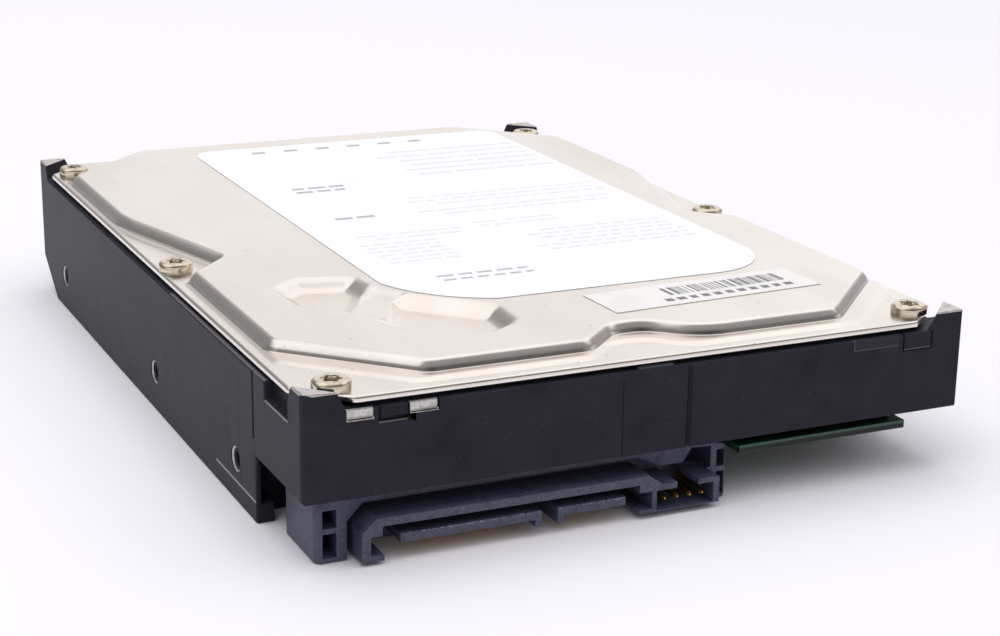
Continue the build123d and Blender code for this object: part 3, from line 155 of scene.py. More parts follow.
def finish(name, tones, cloud, grain, roughness, metallic=0.0, relief=0.01, stretch=(1, 1, 1), level=0.5):
    """A finish whose colour drifts between tones in clouds of one size in mm, with a grain of another size
    that roughens it and lifts it by relief. stretch squeezes the pattern along an axis, and level is the
    gloss."""
    material = bpy.data.materials.new(name)
    material.use_nodes = True
    tree = material.node_tree
    tree.nodes.clear()
    place = add(tree, "ShaderNodeMapping", {
        "Vector": add(tree, "ShaderNodeTexCoord").outputs["Object"],
        "Scale": tuple(s / MM for s in stretch)}).outputs["Vector"]
    clouds = add(tree, "ShaderNodeTexNoise", {"Vector": place, "Scale": 1 / cloud, "Detail": 3.0})
    grains = add(tree, "ShaderNodeTexNoise", {"Vector": place, "Scale": 1 / grain, "Detail": 2.0})
    spread = [(0.3 + 0.4 * i / max(1, len(tones) - 1), tone) for i, tone in enumerate(tones)]
    tone = add(tree, "ShaderNodeValToRGB", {"Fac": clouds.outputs["Fac"]}, stops=spread)
    rough = add(tree, "ShaderNodeMapRange", {
        "Value": grains.outputs["Fac"], "From Min": 0.3, "From Max": 0.7, "To Min": roughness[0],
        "To Max": roughness[1]})
    lift = add(tree, "ShaderNodeBump", {"Height": grains.outputs["Fac"], "Distance": relief * MM})
    shader = add(tree, "ShaderNodeBsdfPrincipled", {
        "Base Color": tone.outputs["Color"], "Roughness": rough.outputs["Result"],
        "Normal": lift.outputs["Normal"], "Metallic": metallic, "Specular IOR Level": level})
    add(tree, "ShaderNodeOutputMaterial", {"Surface": shader.outputs["BSDF"]})
    FINISHES[name] = SimpleNamespace(material=material, tree=tree, place=place, shader=shader,
                                     clouds=clouds.outputs["Fac"], grains=grains.outputs["Fac"])
    return FINISHES[name]


def wear_in(worn, mask, tone, roughness=None, metallic=None):
    """Lays a second look over a finish where a mask is 1."""
    for name, value in (("Base Color", tone), ("Roughness", roughness), ("Metallic", metallic)):
        if value is None:
            continue
        socket = worn.shader.inputs[name]
        before = socket.links[0].from_socket if socket.links else socket.default_value
        if name == "Base Color":
            blend = add(worn.tree, "ShaderNodeMix", {0: mask, 6: before, 7: value}, data_type="RGBA")
            worn.tree.links.new(blend.outputs[2], socket)
        else:
            blend = add(worn.tree, "ShaderNodeMix", {0: mask, 2: before, 3: value})
            worn.tree.links.new(blend.outputs[0], socket)


def times(worn, *masks):
    """Product of masks."""
    result = masks[0]
    for mask in masks[1:]:
        result = add(worn.tree, "ShaderNodeMath", {0: result, 1: mask}, operation="MULTIPLY").outputs[0]
    return result


# a speck's cell in sizes of the speck, and its radius as a share of the cell
CELL_PER_SPECK = 6
SPECK_RADIUS_IN_CELLS = 0.085


def specks(worn, size, share):
    """Mask of small round specks of a size in mm, each in a cell of its own, on a share of the cells."""
    cells = add(worn.tree, "ShaderNodeTexVoronoi", {
        "Vector": worn.place, "Scale": 1 / (CELL_PER_SPECK * size)})
    near = add(worn.tree, "ShaderNodeMath", {0: cells.outputs["Distance"], 1: SPECK_RADIUS_IN_CELLS},
               operation="LESS_THAN")
    dice = add(worn.tree, "ShaderNodeSeparateColor", {"Color": cells.outputs["Color"]})
    chosen = add(worn.tree, "ShaderNodeMath", {0: dice.outputs[0], 1: share}, operation="LESS_THAN")
    return times(worn, near.outputs[0], chosen.outputs[0])


def band(worn, axis, low, high, soft):
    """Mask of the space between two heights or plan lines in mm, with soft ends."""
    split = add(worn.tree, "ShaderNodeSeparateXYZ", {"Vector": worn.place})
    edges = []
    for level, sign in ((low, 1.0), (high, -1.0)):
        start = level + FRAME_CORNER["XYZ".index(axis)]
        edges.append(add(worn.tree, "ShaderNodeMapRange", {
            "Value": split.outputs[axis], "From Min": start - sign * soft,
            "From Max": start + sign * soft}).outputs["Result"])
    return times(worn, *edges)


# Marks that stand on the coat as tone only: from, to, low and high in mm. On the end wall they are painted
# relief of tabs, recesses and parting lines of the casting: the near-black outlines and lines are painted
# shade in recesses and grooves that the mesh lacks, and the lighter faces and pale lines are painted
# highlight on their faces, ledges and edges. On the left wall the dark lines are painted shade in parting
# lines and grooves, and the pale lines are scuffs with painted highlight on ledges.
END_WALL_PAINTED_RELIEF = [
    (83.0, 90.65, 20.5, 22.1, "#35343C"), (82.9, 83.05, 20.4, 22.1, "#55555F"),
    (83.0, 90.65, 20.4, 20.55, "#50505A"), (91.3, 96.5, 19.4, 22.1, "#060608"),
    (91.6, 96.2, 19.7, 22.1, "#2E2D36"), (91.6, 96.2, 19.62, 19.75, "#62626C"),
    (10.3, 14.6, 19.8, 22.1, "#0C0C0F"), (10.6, 14.3, 20.1, 22.1, "#2A2A30"),
    (10.4, 14.5, 19.62, 19.78, "#85858C"), (5.85, 9.8, 20.42, 20.58, "#050506"),
    (14.6, 18.7, 20.42, 20.58, "#050506"), (18.6, 18.75, 20.5, 22.1, "#050506"),
    (45.75, 45.87, 9.8, 21.0, "#0B0B0D"), (28.5, 45.8, 9.9, 10.02, "#3D3C44"),
    (19.4, 54.0, 22.2, 22.34, "#4A4A52"), (57.0, 82.0, 22.2, 22.34, "#4A4A52"),
    (45.9, 56.1, 14.2, 14.3, "#26262B")]
LEFT_WALL_SCUFFS_AND_PAINTED_SHADE = [
    (20.1, 20.25, 3.2, 21.5, "#0C0C0E"), (26.45, 26.58, 4.0, 20.0, "#111114"),
    (31.85, 31.97, 4.0, 20.0, "#111114"), (19.7, 37.7, 2.95, 3.25, "#A9A6A4"),
    (15.4, 60.0, 21.9, 22.1, "#6C6A6C"), (6.0, 15.2, 19.2, 19.36, "#8C8A8C")]
# each wall's marks: the axis along the wall, the axis through it, its depth, and the marks' roughness
MARKED_WALLS = (("X", "Y", 1.0, 0.4, END_WALL_PAINTED_RELIEF), ("Y", "X", 0.6, 0.45, LEFT_WALL_SCUFFS_AND_PAINTED_SHADE))

# cathodic electro-coat on die-cast aluminium: a satin black, faintly violet, with a fine orange peel and
# light dust specks
for coat_name in ("black_electrocoat", "worn_coat_edge"):
    coat = finish(coat_name, ("#29282F", "#302F37", "#2C2B32"), 9.0, 0.35, (0.3, 0.42), relief=0.012,
                  level=0.035)
    wear_in(coat, specks(coat, 0.09, 0.10), "#77777E")
    # painted shade and painted highlight of the walls' relief, and the left wall's scuffs, laid on the coat
    # as tone
    for along, through, depth, roughness, marks in MARKED_WALLS:
        wall = band(coat, through, -1.0, depth, 0.05)
        for start, end, low, high, tone in marks:
            mark = times(coat, wall, band(coat, along, start, end, 0.04), band(coat, "Z", low, high, 0.04))
            wear_in(coat, mark, tone, roughness)
# along its upper sharp edges the coat is thin and the metal shows through in places
worn_edge = FINISHES["worn_coat_edge"]
patchy = add(worn_edge.tree, "ShaderNodeMapRange", {"Value": worn_edge.clouds, "From Min": 0.36,
                                                    "From Max": 0.56})
shine_through = times(worn_edge, patchy.outputs[0], band(worn_edge, "Z", WALL_TOP - 1.2, WALL_TOP + 9.0, 0.5))
wear_in(worn_edge, shine_through, "#B9B2A6", 0.4, 0.8)
# die-cast aluminium without coat, where the posts were milled: pale, matt, finely pitted
finish("bare_cast_aluminium", ("#B7B3AE", "#D2CECA", "#A7A4A0"), 1.4, 0.2, (0.38, 0.55), metallic=0.85,
       relief=0.03)
# stainless sheet, temper rolled and pressed: satin, slightly warm, with a rolling grain along the drive
steel = finish("satin_stainless_sheet", ("#E2DBD3", "#E9E3DC", "#DDD6CE"), 22.0, 0.3, (0.17, 0.23),
               metallic=1.0, relief=0.0002, stretch=(1.0, 0.25, 1.0))
wear_in(steel, specks(steel, 0.12, 0.10), "#4A4440", 0.6, 0.2)
# nickel plate on the screws' steel: warm grey, bright on its turned faces
finish("nickel_plated_steel", ("#C6BBA2", "#DBD2BE", "#B9AD92"), 1.2, 0.2, (0.12, 0.2), metallic=1.0,
       relief=0.0006)
# coated label paper: white, nearly smooth, with a faint mottle
finish("coated_label_paper", ("#F3F3F5", "#F6F6F8", "#F1F1F4"), 20.0, 0.2, (0.5, 0.62), relief=0.002)
finish("matt_label_paper", ("#E6E4E1", "#EBE9E6", "#E2E0DD"), 8.0, 0.2, (0.5, 0.62), relief=0.002)
# printing ink: thin and matt, unevenly laid
finish("pale_blue_ink", ("#DCDEE8", "#E4E6EE", "#D5D8E3"), 1.2, 0.15, (0.55, 0.7), relief=0.001)
finish("grey_ink", ("#A9AAB3", "#B7B8C0", "#A0A1AA"), 1.0, 0.15, (0.55, 0.7), relief=0.001)
finish("black_ink", ("#6E6E74", "#7B7B81", "#636369"), 0.8, 0.15, (0.5, 0.65), relief=0.001)
# glass-filled nylon, moulded: blue-grey black, mottled where the glass comes to the surface
nylon = finish("glass_filled_nylon", ("#2B2E3C", "#43475B", "#34384A"), 2.2, 0.2, (0.42, 0.6), relief=0.03)
flecks = add(nylon.tree, "ShaderNodeMapRange", {"Value": nylon.grains, "From Min": 0.55, "From Max": 0.66})
wear_in(nylon, flecks.outputs[0], "#585B70")
# painted highlight along the upper front edges of the tongues, laid on the glass flecks there
painted_tongue_edge_highlight = times(nylon, flecks.outputs[0], band(nylon, "X", 12.0, 47.0, 0.1),
                band(nylon, "Y", -0.5, 1.2, 0.2), band(nylon, "Z", 3.55, 3.95, 0.08))
wear_in(nylon, painted_tongue_edge_highlight, "#9496AA")
# hard gold on the contacts: yellow, smooth, drawn along their length
finish("gold_plated_bronze", ("#D9A840", "#E6BC5C", "#C8962F"), 0.8, 0.12, (0.2, 0.32), metallic=1.0,
       relief=0.002)
# solder mask over glass-epoxy laminate: dark green, glossy, with the weave faintly showing
board = finish("green_solder_mask", ("#17402F", "#215040", "#1B4736"), 3.0, 0.5, (0.26, 0.38), relief=0.008)
# painted shade: the lower part of its sawn front edge is darkened, for the shadow under the board
painted_edge_shade = times(board, band(board, "Z", 7.02, 7.75, 0.05), band(board, "Y", -1.0, 2.2, 0.1))
wear_in(board, painted_edge_shade, "#0C1411", 0.7)
finish("tinned_copper", ("#B9BCC0", "#CDD0D3", "#A9ACB0"), 0.6, 0.15, (0.25, 0.4), metallic=1.0, relief=0.01)
# open-cell polyurethane foam: dull grey with pores
finish("open_cell_foam", ("#4D4D52", "#66666B", "#434348"), 0.8, 0.5, (0.85, 0.95), relief=0.2, level=0.2)
# moulded epoxy of the chips: fine matt texture
finish("moulded_epoxy", ("#1E1E21", "#29292D", "#1A1A1D"), 1.5, 0.12, (0.5, 0.65), relief=0.01, level=0.4)
# fired ceramic of the small capacitors, tan
finish("tan_ceramic", ("#85745F", "#97866E", "#776754"), 1.0, 0.2, (0.4, 0.55), relief=0.01)
# butyl rubber, moulded
finish("butyl_rubber", ("#141416", "#1C1C1F", "#111113"), 1.2, 0.3, (0.55, 0.75), relief=0.02, level=0.3)
# aluminium turned on a lathe: bright, with fine tool marks
finish("turned_aluminium", ("#C1C2C4", "#C8C9CB", "#BCBDBF"), 2.0, 0.12, (0.22, 0.36), metallic=1.0,
       relief=0.003, stretch=(0.3, 1, 1))
# bronze pressed from powder: brown-gold, porous
finish("sintered_bronze", ("#97713E", "#AC8550", "#846233"), 0.5, 0.1, (0.4, 0.55), metallic=1.0, relief=0.02)
# stacked motor sheets: grey steel with fine lines across the height
finish("laminated_motor_steel", ("#6F6F73", "#86868A", "#636367"), 0.6, 0.2, (0.35, 0.5), metallic=1.0,
       relief=0.02, stretch=(0.2, 0.2, 4))
# enamelled copper wire: orange-brown, glossy varnish over metal
finish("enamelled_copper", ("#A4532A", "#B96538", "#8F4522"), 0.5, 0.15, (0.25, 0.4), metallic=0.9,
       relief=0.03)
# polyimide film over copper: amber, glossy
finish("polyimide_film", ("#9A5E1E", "#B2722C", "#84500F"), 2.5, 0.4, (0.22, 0.36), relief=0.004)
# electroless nickel on steel: silvery, slightly yellow, satin
finish("electroless_nickel", ("#B6B4AE", "#BDBBB5", "#B1AFA9"), 7.0, 0.2, (0.24, 0.38), metallic=1.0,
       relief=0.004)
finish("nickel_on_neodymium", ("#96979A", "#ACADB0", "#88898C"), 3.0, 0.2, (0.2, 0.34), metallic=1.0,
       relief=0.004)
# nitrile rubber of the stops
finish("nitrile_rubber", ("#18181A", "#222224", "#141416"), 0.8, 0.2, (0.6, 0.8), relief=0.02, level=0.3)
# ground bearing steel: grey, very smooth
finish("ground_steel", ("#A4A5A8", "#B8B9BC", "#96979A"), 1.0, 0.1, (0.12, 0.22), metallic=1.0, relief=0.001)
# needled polyester felt
finish("polyester_felt", ("#D0CFCB", "#E2E1DE", "#C3C2BE"), 0.5, 0.3, (0.85, 0.95), relief=0.2, level=0.2)
# moulded polycarbonate, off-white
finish("offwhite_polycarbonate", ("#D4D4CF", "#DEDEDA", "#CBCBC6"), 2.0, 0.2, (0.35, 0.5), relief=0.01)
# sputtered cobalt alloy under a carbon film: a dark-toned mirror
finish("sputtered_disk", ("#ABA7A3", "#AEAAA6", "#A9A5A1"), 30.0, 0.2, (0.03, 0.06), metallic=1.0,
       relief=0.0002)
# alumina titanium-carbide of the heads
finish("slider_ceramic", ("#28282B", "#353538", "#202023"), 0.3, 0.1, (0.2, 0.3), relief=0.002)
# moulded thermoplastics of the coil's rim and of the latch
finish("black_polyester", ("#2E2E31", "#3C3C3F", "#28282B"), 1.0, 0.2, (0.45, 0.6), relief=0.01)
finish("ivory_acetal", ("#D6D3C9", "#E0DDD4", "#CAC7BD"), 1.5, 0.2, (0.35, 0.5), relief=0.01)


# ------------------------------------------------------------------ mesh pieces
def in_scene(name, data):
    """Object of a mesh, a lamp or a camera, linked to the scene."""
    item = bpy.data.objects.new(name, data)
    bpy.context.scene.collection.objects.link(item)
    return item


@contextmanager
def reshaped(mesh):
    """Lends a mesh's shape for editing and writes it back."""
    shape = bmesh.new()
    shape.from_mesh(mesh)
    yield shape
    shape.to_mesh(mesh)
    shape.free()


def own_mesh(name, points, faces):
    """Object with a mesh of points from the left side, the connector end and the resting plane."""
    mesh = bpy.data.meshes.new(name)
    mesh.from_pydata([tuple(p) for p in in_frame(points)], [], [tuple(f) for f in faces])
    return in_scene(name, mesh)


def seat(item, finishes, node, replaced=()):
    """Gives a piece its finishes and its body, and hides the CAD nodes that it stands for."""
    item.data.materials.clear()
    for name in finishes:
        item.data.materials.append(FINISHES[name].material)
    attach(item, BODY_OF[node])
    if replaced:
        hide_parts(*replaced)
    return item


def made_final(item, name):
    """Plain mesh object of what an object's modifiers make of it; the object itself goes."""
    ready = bpy.data.meshes.new_from_object(item.evaluated_get(bpy.context.evaluated_depsgraph_get()))
    ready.name = name
    result = in_scene(name, ready)
    bpy.data.objects.remove(item)
    return result


FLAT_ANGLE, SHARP_ANGLE = math.radians(0.5), math.radians(32)
DOUBLES = 0.002 * MM


def merged_copy(node):
    """Copy of a CAD node's mesh, merged, with its flat faces made whole and its curved faces smooth."""
    mesh = NODES[node].data.copy()
    with reshaped(mesh) as shape:
        bmesh.ops.remove_doubles(shape, verts=shape.verts, dist=DOUBLES)
        bmesh.ops.dissolve_limit(shape, angle_limit=FLAT_ANGLE, verts=shape.verts, edges=shape.edges)
        for face in shape.faces:
            turns = [edge.calc_face_angle(math.pi) for edge in face.edges]
            face.smooth = any(FLAT_ANGLE < turn < SHARP_ANGLE for turn in turns)
    mesh.materials.clear()
    return in_scene(node + "_copy", mesh)


def weigh_edges(mesh, share, wide):
    """Gives a mesh's sharp edges a share of the bevel's width, and those that wide picks all of it."""
    with reshaped(mesh) as shape:
        weight = shape.edges.layers.float.new("bevel_weight_edge")
        for edge in shape.edges:
            if edge.calc_face_angle(0.0) > SHARP_ANGLE:
                edge[weight] = 1.0 if wide(edge) else share


def eased(node, name, radius, finishes, edge_finish=0, segments=2, widest=None, wide=None):
    """The CAD node's shape with its sharp edges rounded off, as a piece that stands for the node. Its flat
    faces stay flat in the light, and its curved faces and its edges are smooth. Edges that wide picks are
    rounded by widest instead of radius."""
    item = merged_copy(node)
    if wide:
        weigh_edges(item.data, radius / widest, wide)
    for _ in range(len(finishes) + 1):
        item.data.materials.append(FINISHES[finishes[0]].material)
    rounding = item.modifiers.new("edges", "BEVEL")
    rounding.width = (widest or radius) * MM
    rounding.segments = segments
    rounding.limit_method = "WEIGHT" if wide else "ANGLE"
    rounding.use_clamp_overlap = not wide
    rounding.angle_limit = SHARP_ANGLE
    rounding.material = len(finishes)
    piece = made_final(item, name)
    for polygon in piece.data.polygons:
        if polygon.material_index == len(finishes):
            polygon.material_index = edge_finish
            polygon.use_smooth = True
    return seat(piece, finishes, node, replaced=(node,))


# ------------------------------------------------------------------ repeated things
def copies_tree():
    """Sets a template down on every point, sized and turned by the points' attributes, and turned at random
    about the vertical by up to Wander."""
    tree = bpy.data.node_groups.new("set_down_copies", "GeometryNodeTree")
    for name, kind in (("Places", "Geometry"), ("Template", "Object"), ("Wander", "Float"), ("Seed", "Int"),
                       ("Finish", "Material")):
        tree.interface.new_socket(name, in_out="INPUT", socket_type="NodeSocket" + kind)
    tree.interface.new_socket("Copies", in_out="OUTPUT", socket_type="NodeSocketGeometry")
    given = add(tree, "NodeGroupInput").outputs
    template = add(tree, "GeometryNodeObjectInfo", {"Object": given["Template"]})
    size = add(tree, "GeometryNodeInputNamedAttribute", {"Name": "size"}, data_type="FLOAT_VECTOR")
    turn = add(tree, "GeometryNodeInputNamedAttribute", {"Name": "turn"}, data_type="FLOAT")
    dice = add(tree, "FunctionNodeRandomValue", {2: -1.0, 3: 1.0, "Seed": given["Seed"]}, data_type="FLOAT")
    stray = add(tree, "ShaderNodeMath", {
        0: dice.outputs[1], 1: given["Wander"], 2: turn.outputs["Attribute"]}, operation="MULTIPLY_ADD")
    about_z = add(tree, "ShaderNodeCombineXYZ", {"Z": stray.outputs[0]})
    spin = add(tree, "FunctionNodeEulerToRotation", {"Euler": about_z.outputs[0]})
    laid = add(tree, "GeometryNodeInstanceOnPoints", {
        "Points": given["Places"], "Instance": template.outputs["Geometry"], "Rotation": spin.outputs[0],
        "Scale": size.outputs["Attribute"]})
    solid = add(tree, "GeometryNodeRealizeInstances", {"Geometry": laid.outputs["Instances"]})
    painted = add(tree, "GeometryNodeSetMaterial", {
        "Geometry": solid.outputs[0], "Material": given["Finish"]})
    add(tree, "NodeGroupOutput", {"Copies": painted.outputs[0]})
    return tree


COPIES = copies_tree()


def repeated(name, template, places, finish_name, node, replaced=(), wander=0.0, seed=1):
    """Copies of a template on places (x, y, z, size x, y and z, turn) as one piece on a node's body."""
    places = np.array(places, float)
    holder = own_mesh(name + "_places", places[:, :3], [])
    sizes = holder.data.attributes.new("size", "FLOAT_VECTOR", "POINT")
    sizes.data.foreach_set("vector", places[:, 3:6].ravel())
    turns = holder.data.attributes.new("turn", "FLOAT", "POINT")
    turns.data.foreach_set("value", places[:, 6])
    modifier = holder.modifiers.new("copies", "NODES")
    modifier.node_group = COPIES
    socket = {item.name: item.identifier for item in COPIES.interface.items_tree if item.in_out == "INPUT"}
    modifier[socket["Template"]] = template
    modifier[socket["Wander"]] = wander
    modifier[socket["Seed"]] = seed
    modifier[socket["Finish"]] = FINISHES[finish_name].material
    return seat(made_final(holder, name), (finish_name,), node, replaced=replaced)


def turned_template(name, rings, around=24, wave=0):
    """Template about the vertical: rings of (radius, height, depth of the waves round it), closed at both
    ends, from the bottom outside round to the middle of the top."""
    points, faces = [], []
    for radius, height, swing in rings:
        for k in range(around):
            angle = 2 * math.pi * k / around
            reach = radius + swing * math.cos(wave * angle)
            points.append((reach * math.cos(angle) * MM, reach * math.sin(angle) * MM, height * MM))
    for ring in range(len(rings) - 1):
        for k in range(around):
            a, b = ring * around + k, ring * around + (k + 1) % around
            faces.append((a, b, b + around, a + around))
    faces.append(tuple(range(around))[::-1])
    faces.append(tuple(range((len(rings) - 1) * around, len(rings) * around)))
    mesh = bpy.data.meshes.new(name)
    mesh.from_pydata(points, [], faces)
    mesh.shade_smooth()
    mesh.set_sharp_from_angle(angle=math.radians(35))
    return bpy.data.objects.new(name, mesh)


def bar_template(name, ease):
    """Template one millimetre each way, standing on its square base, its top edge eased inwards."""
    rings = ((0.0, 0.5), (1.0 - ease, 0.5), (1.0, 0.5 - ease))
    points = [(x * half * MM, y * half * MM, z * MM) for z, half in rings
              for x, y in ((-1, -1), (1, -1), (1, 1), (-1, 1))]
    faces = [(ring + k, ring + (k + 1) % 4, ring + 4 + (k + 1) % 4, ring + 4 + k)
             for ring in (0, 4) for k in range(4)]
    faces += [(3, 2, 1, 0), (8, 9, 10, 11)]
    mesh = bpy.data.meshes.new(name)
    mesh.from_pydata(points, [], faces)
    return bpy.data.objects.new(name, mesh)


BAR = bar_template("bar", ease=0.05)


# ------------------------------------------------------------------ outlines in plan
CORNER_STEPS = 8


def rounded(corners):
    """Closed outline from (x, y, radius) corners."""
    points = []
    for i, (x, y, radius) in enumerate(corners):
        here = np.array((x, y), float)
        before = np.array(corners[i - 1][:2]) - here
        after = np.array(corners[(i + 1) % len(corners)][:2]) - here
        reach_before, reach_after = np.linalg.norm(before), np.linalg.norm(after)
        before, after = before / reach_before, after / reach_after
        half = math.acos(np.clip(before @ after, -1, 1)) / 2
        trim = min(radius / math.tan(half), 0.48 * reach_before, 0.48 * reach_after)
        weight = math.sin(half)
        start, end = here + before * trim, here + after * trim
        for t in np.linspace(0, 1, CORNER_STEPS + 1):
            a, b, c = (1 - t) ** 2, 2 * weight * t * (1 - t), t * t
            points.append((a * start + b * here + c * end) / (a + b + c))
    return np.array(points)


def distance_to(outline, points):
    """Signed distance from points to a closed outline, negative inside."""
    nearest = np.full(len(points), 1e9)
    inside = np.zeros(len(points), bool)
    for a, b in zip(outline, np.roll(outline, -1, axis=0)):
        edge = b - a
        if edge @ edge < 1e-12:
            continue
        t = np.clip(((points - a) @ edge) / (edge @ edge), 0, 1)
        gap = points - (a + t[:, None] * edge)
        nearest = np.minimum(nearest, np.einsum("ij,ij->i", gap, gap))
        if edge[1] != 0:
            crosses = (a[1] > points[:, 1]) != (b[1] > points[:, 1])
            inside ^= crosses & (points[:, 0] < a[0] + (points[:, 1] - a[1]) / edge[1] * edge[0])
    return np.where(inside, -1, 1) * np.sqrt(nearest)


def evenly(outline, spacing):
    """Points along a closed outline about spacing apart, and the outward directions there."""
    points, normals = [], []
    for a, b in zip(outline, np.roll(outline, -1, axis=0)):
        edge = b - a
        size = np.linalg.norm(edge)
        if size < 1e-9:
            continue
        parts = max(1, int(round(size / spacing)))
        points += [a + edge * k / parts for k in range(parts)]
        normals += [np.array((edge[1], -edge[0])) / size] * parts
    normals = np.array(normals) + np.roll(normals, 1, axis=0)
    return np.array(points), normals / np.linalg.norm(normals, axis=1)[:, None]


def raised_outline(left, right, front, rear, bay, notch):
    """Outline of a raised field of the cover, as in the case's own plan: slanting corners at the posts, a
    bay in the front edge and a notch beside each middle screw. left and right give a side's margin before
    the notch and behind it, and the two margins that its front and rear corners add up to."""
    notch_x, notch_front, notch_rear = notch
    sides = []
    for before, behind, front_corner, rear_corner in (left, right):
        sides.append([
            (rear_corner - rear, LENGTH - rear, 3.0), (behind, LENGTH + behind - rear_corner, 3.0),
            (behind, MIDDLE_SCREW_Y + notch_rear, 26.0), (before + notch_x, MIDDLE_SCREW_Y - 1.3, 2.2),
            (before, MIDDLE_SCREW_Y - notch_front, 1.8), (before, front_corner - before, 2.5),
            (front_corner - front, front, 2.5)])
    mirrored = [(WIDTH - x, y, radius) for x, y, radius in reversed(sides[1])]
    return rounded(sides[0] + bay + mirrored)


STEP_BAY = [(42.5, 2.8, 3.0), (47.7, 7.6, 3.5), (53.5, 7.6, 7.0), (57.2, 2.8, 8.0)]
STEP_LINE = raised_outline((2.2, 1.3, 19.6, 18.0), (1.2, 1.0, 18.4, 17.2), 2.8, 0.9, STEP_BAY,
                           (6.0, 9.5, 22.0))
PLATEAU_BAY = [(43.4, 6.3, 3.5), (49.4, 11.9, 4.5), (55.0, 11.9, 9.0), (61.4, 6.3, 9.0)]
PLATEAU_LINE = raised_outline((3.75, 2.65, 26.0, 20.4), (2.6, 1.8, 24.3, 19.4), 6.3, 1.5, PLATEAU_BAY,
                              (7.0, 8.6, 28.4))
POCKET_A = rounded([(x, y, 2.6) for x, y in (
    (11.5, 36.6), (18.9, 29.3), (26.2, 42.4), (25.5, 48.0), (16.2, 50.6), (11.1, 46.4))])
POCKET_B = rounded([(x, y, 2.8) for x, y in (
    (19.3, 23.9), (22.0, 18.8), (32.6, 13.7), (39.1, 17.5), (39.6, 25.9), (26.4, 39.4))])
SADDLE = rounded([(x, y, 1.5) for x, y in ((16.1, 32.4), (21.9, 23.1), (29.9, 36.5), (25.8, 42.8))])
RIM_MARGIN = COVER_LOW[0]
RIM_CUT = 6.9
RIM_SIDES = [(RIM_MARGIN + RIM_CUT, RIM_MARGIN), (WIDTH - RIM_MARGIN - RIM_CUT, RIM_MARGIN),
             (WIDTH - RIM_MARGIN, RIM_MARGIN + RIM_CUT), (WIDTH - RIM_MARGIN, LENGTH - RIM_MARGIN - RIM_CUT)]
RIM_LINE = rounded([(x, y, 1.2) for x, y in RIM_SIDES]
                   + [(WIDTH - x, LENGTH - y, 1.2) for x, y in RIM_SIDES])


# ------------------------------------------------------------------ stamped cover
STEP_RISE, STEP_RUN = 0.32, 1.5
PLATEAU_RISE = PLATEAU_TOP - RIM_TOP
FOOT_OUTSIDE = 1.15
SLOPE_RUN = 1.65
POCKET_DEPTH, POCKET_RUN = 1.8, 3.4
SADDLE_DEPTH, SADDLE_RUN = 0.75, 2.6
SCREW_HOLE = 1.5
EDGE_ROUND = 0.5
# rows of the cover's mesh: inwards from the rim, shares of the way up the slope, and outwards from the step
RIM_ROWS = (0.04, 0.12, 0.24, 0.38, 0.55, 0.85)
SLOPE_ROWS = (-0.1, -0.02, 0.03, 0.07, 0.11, 0.17, 0.25, 0.34, 0.44, 0.54, 0.64, 0.76, 0.88, 1.0, 1.15)
STEP_ROWS = (0.6, 0.3, 0.05, -0.2, -0.45, -0.7, -1.0)
SCREW_ROW = 2.4
# neighbours in a row that are closer than this are joined by an edge
LINK = 1.7
# steepness of a pressed slope over shares of its way, and the height that it adds up to
WAY = np.linspace(0, 1, 401)
STEEPNESS = np.interp(WAY, (0, 0.05, 0.17, 0.27, 0.52, 0.74, 1), (0, 2.1, 2.0, 1.35, 1.15, 0.6, 0))
RISE = np.cumsum(STEEPNESS) / np.sum(STEEPNESS)


def pressed_slope(way, run):
    """Height across a pressed slope, 0 at its foot and 1 at its top: steepest just above a tight foot, then
    a plain flank, then a wide round to the level of the top."""
    return np.interp(np.clip(way / run, 0, 1), WAY, RISE)


def eased_step(values):
    """0 to 1 with level ends."""
    values = np.clip(values, 0, 1)
    return values * values * (3 - 2 * values)


def cover_heights(points):
    """Height of the cover's upper face over plan points."""
    z = RIM_TOP + STEP_RISE * eased_step((0.55 - distance_to(STEP_LINE, points)) / STEP_RUN)
    up_slope = FOOT_OUTSIDE - distance_to(PLATEAU_LINE, points)
    z += (PLATEAU_RISE - STEP_RISE) * pressed_slope(up_slope, SLOPE_RUN)
    dips = [depth * eased_step(-distance_to(line, points) / run) for line, depth, run in (
        (POCKET_A, POCKET_DEPTH, POCKET_RUN), (POCKET_B, POCKET_DEPTH, POCKET_RUN),
        (SADDLE, SADDLE_DEPTH, SADDLE_RUN))]
    # where dips meet, the deepest one holds, with a small fillet between them
    z -= np.sum(np.array(dips) ** 8, axis=0) ** 0.125
    edge = np.clip(-distance_to(RIM_LINE, points), 0, EDGE_ROUND)
    return z - EDGE_ROUND + np.sqrt(np.maximum(0, EDGE_ROUND ** 2 - (EDGE_ROUND - edge) ** 2))


def copies_of_line(line, offsets, spacing):
    """Copies of an outline moved outwards by each offset, folds left out."""
    points, normals = evenly(line, spacing)
    copies = []
    for offset in offsets:
        moved = points + normals * offset
        gap = np.abs(distance_to(line, moved))
        copies.append(moved[np.abs(gap - abs(offset)) < 0.06 + 0.08 * abs(offset)])
    return copies


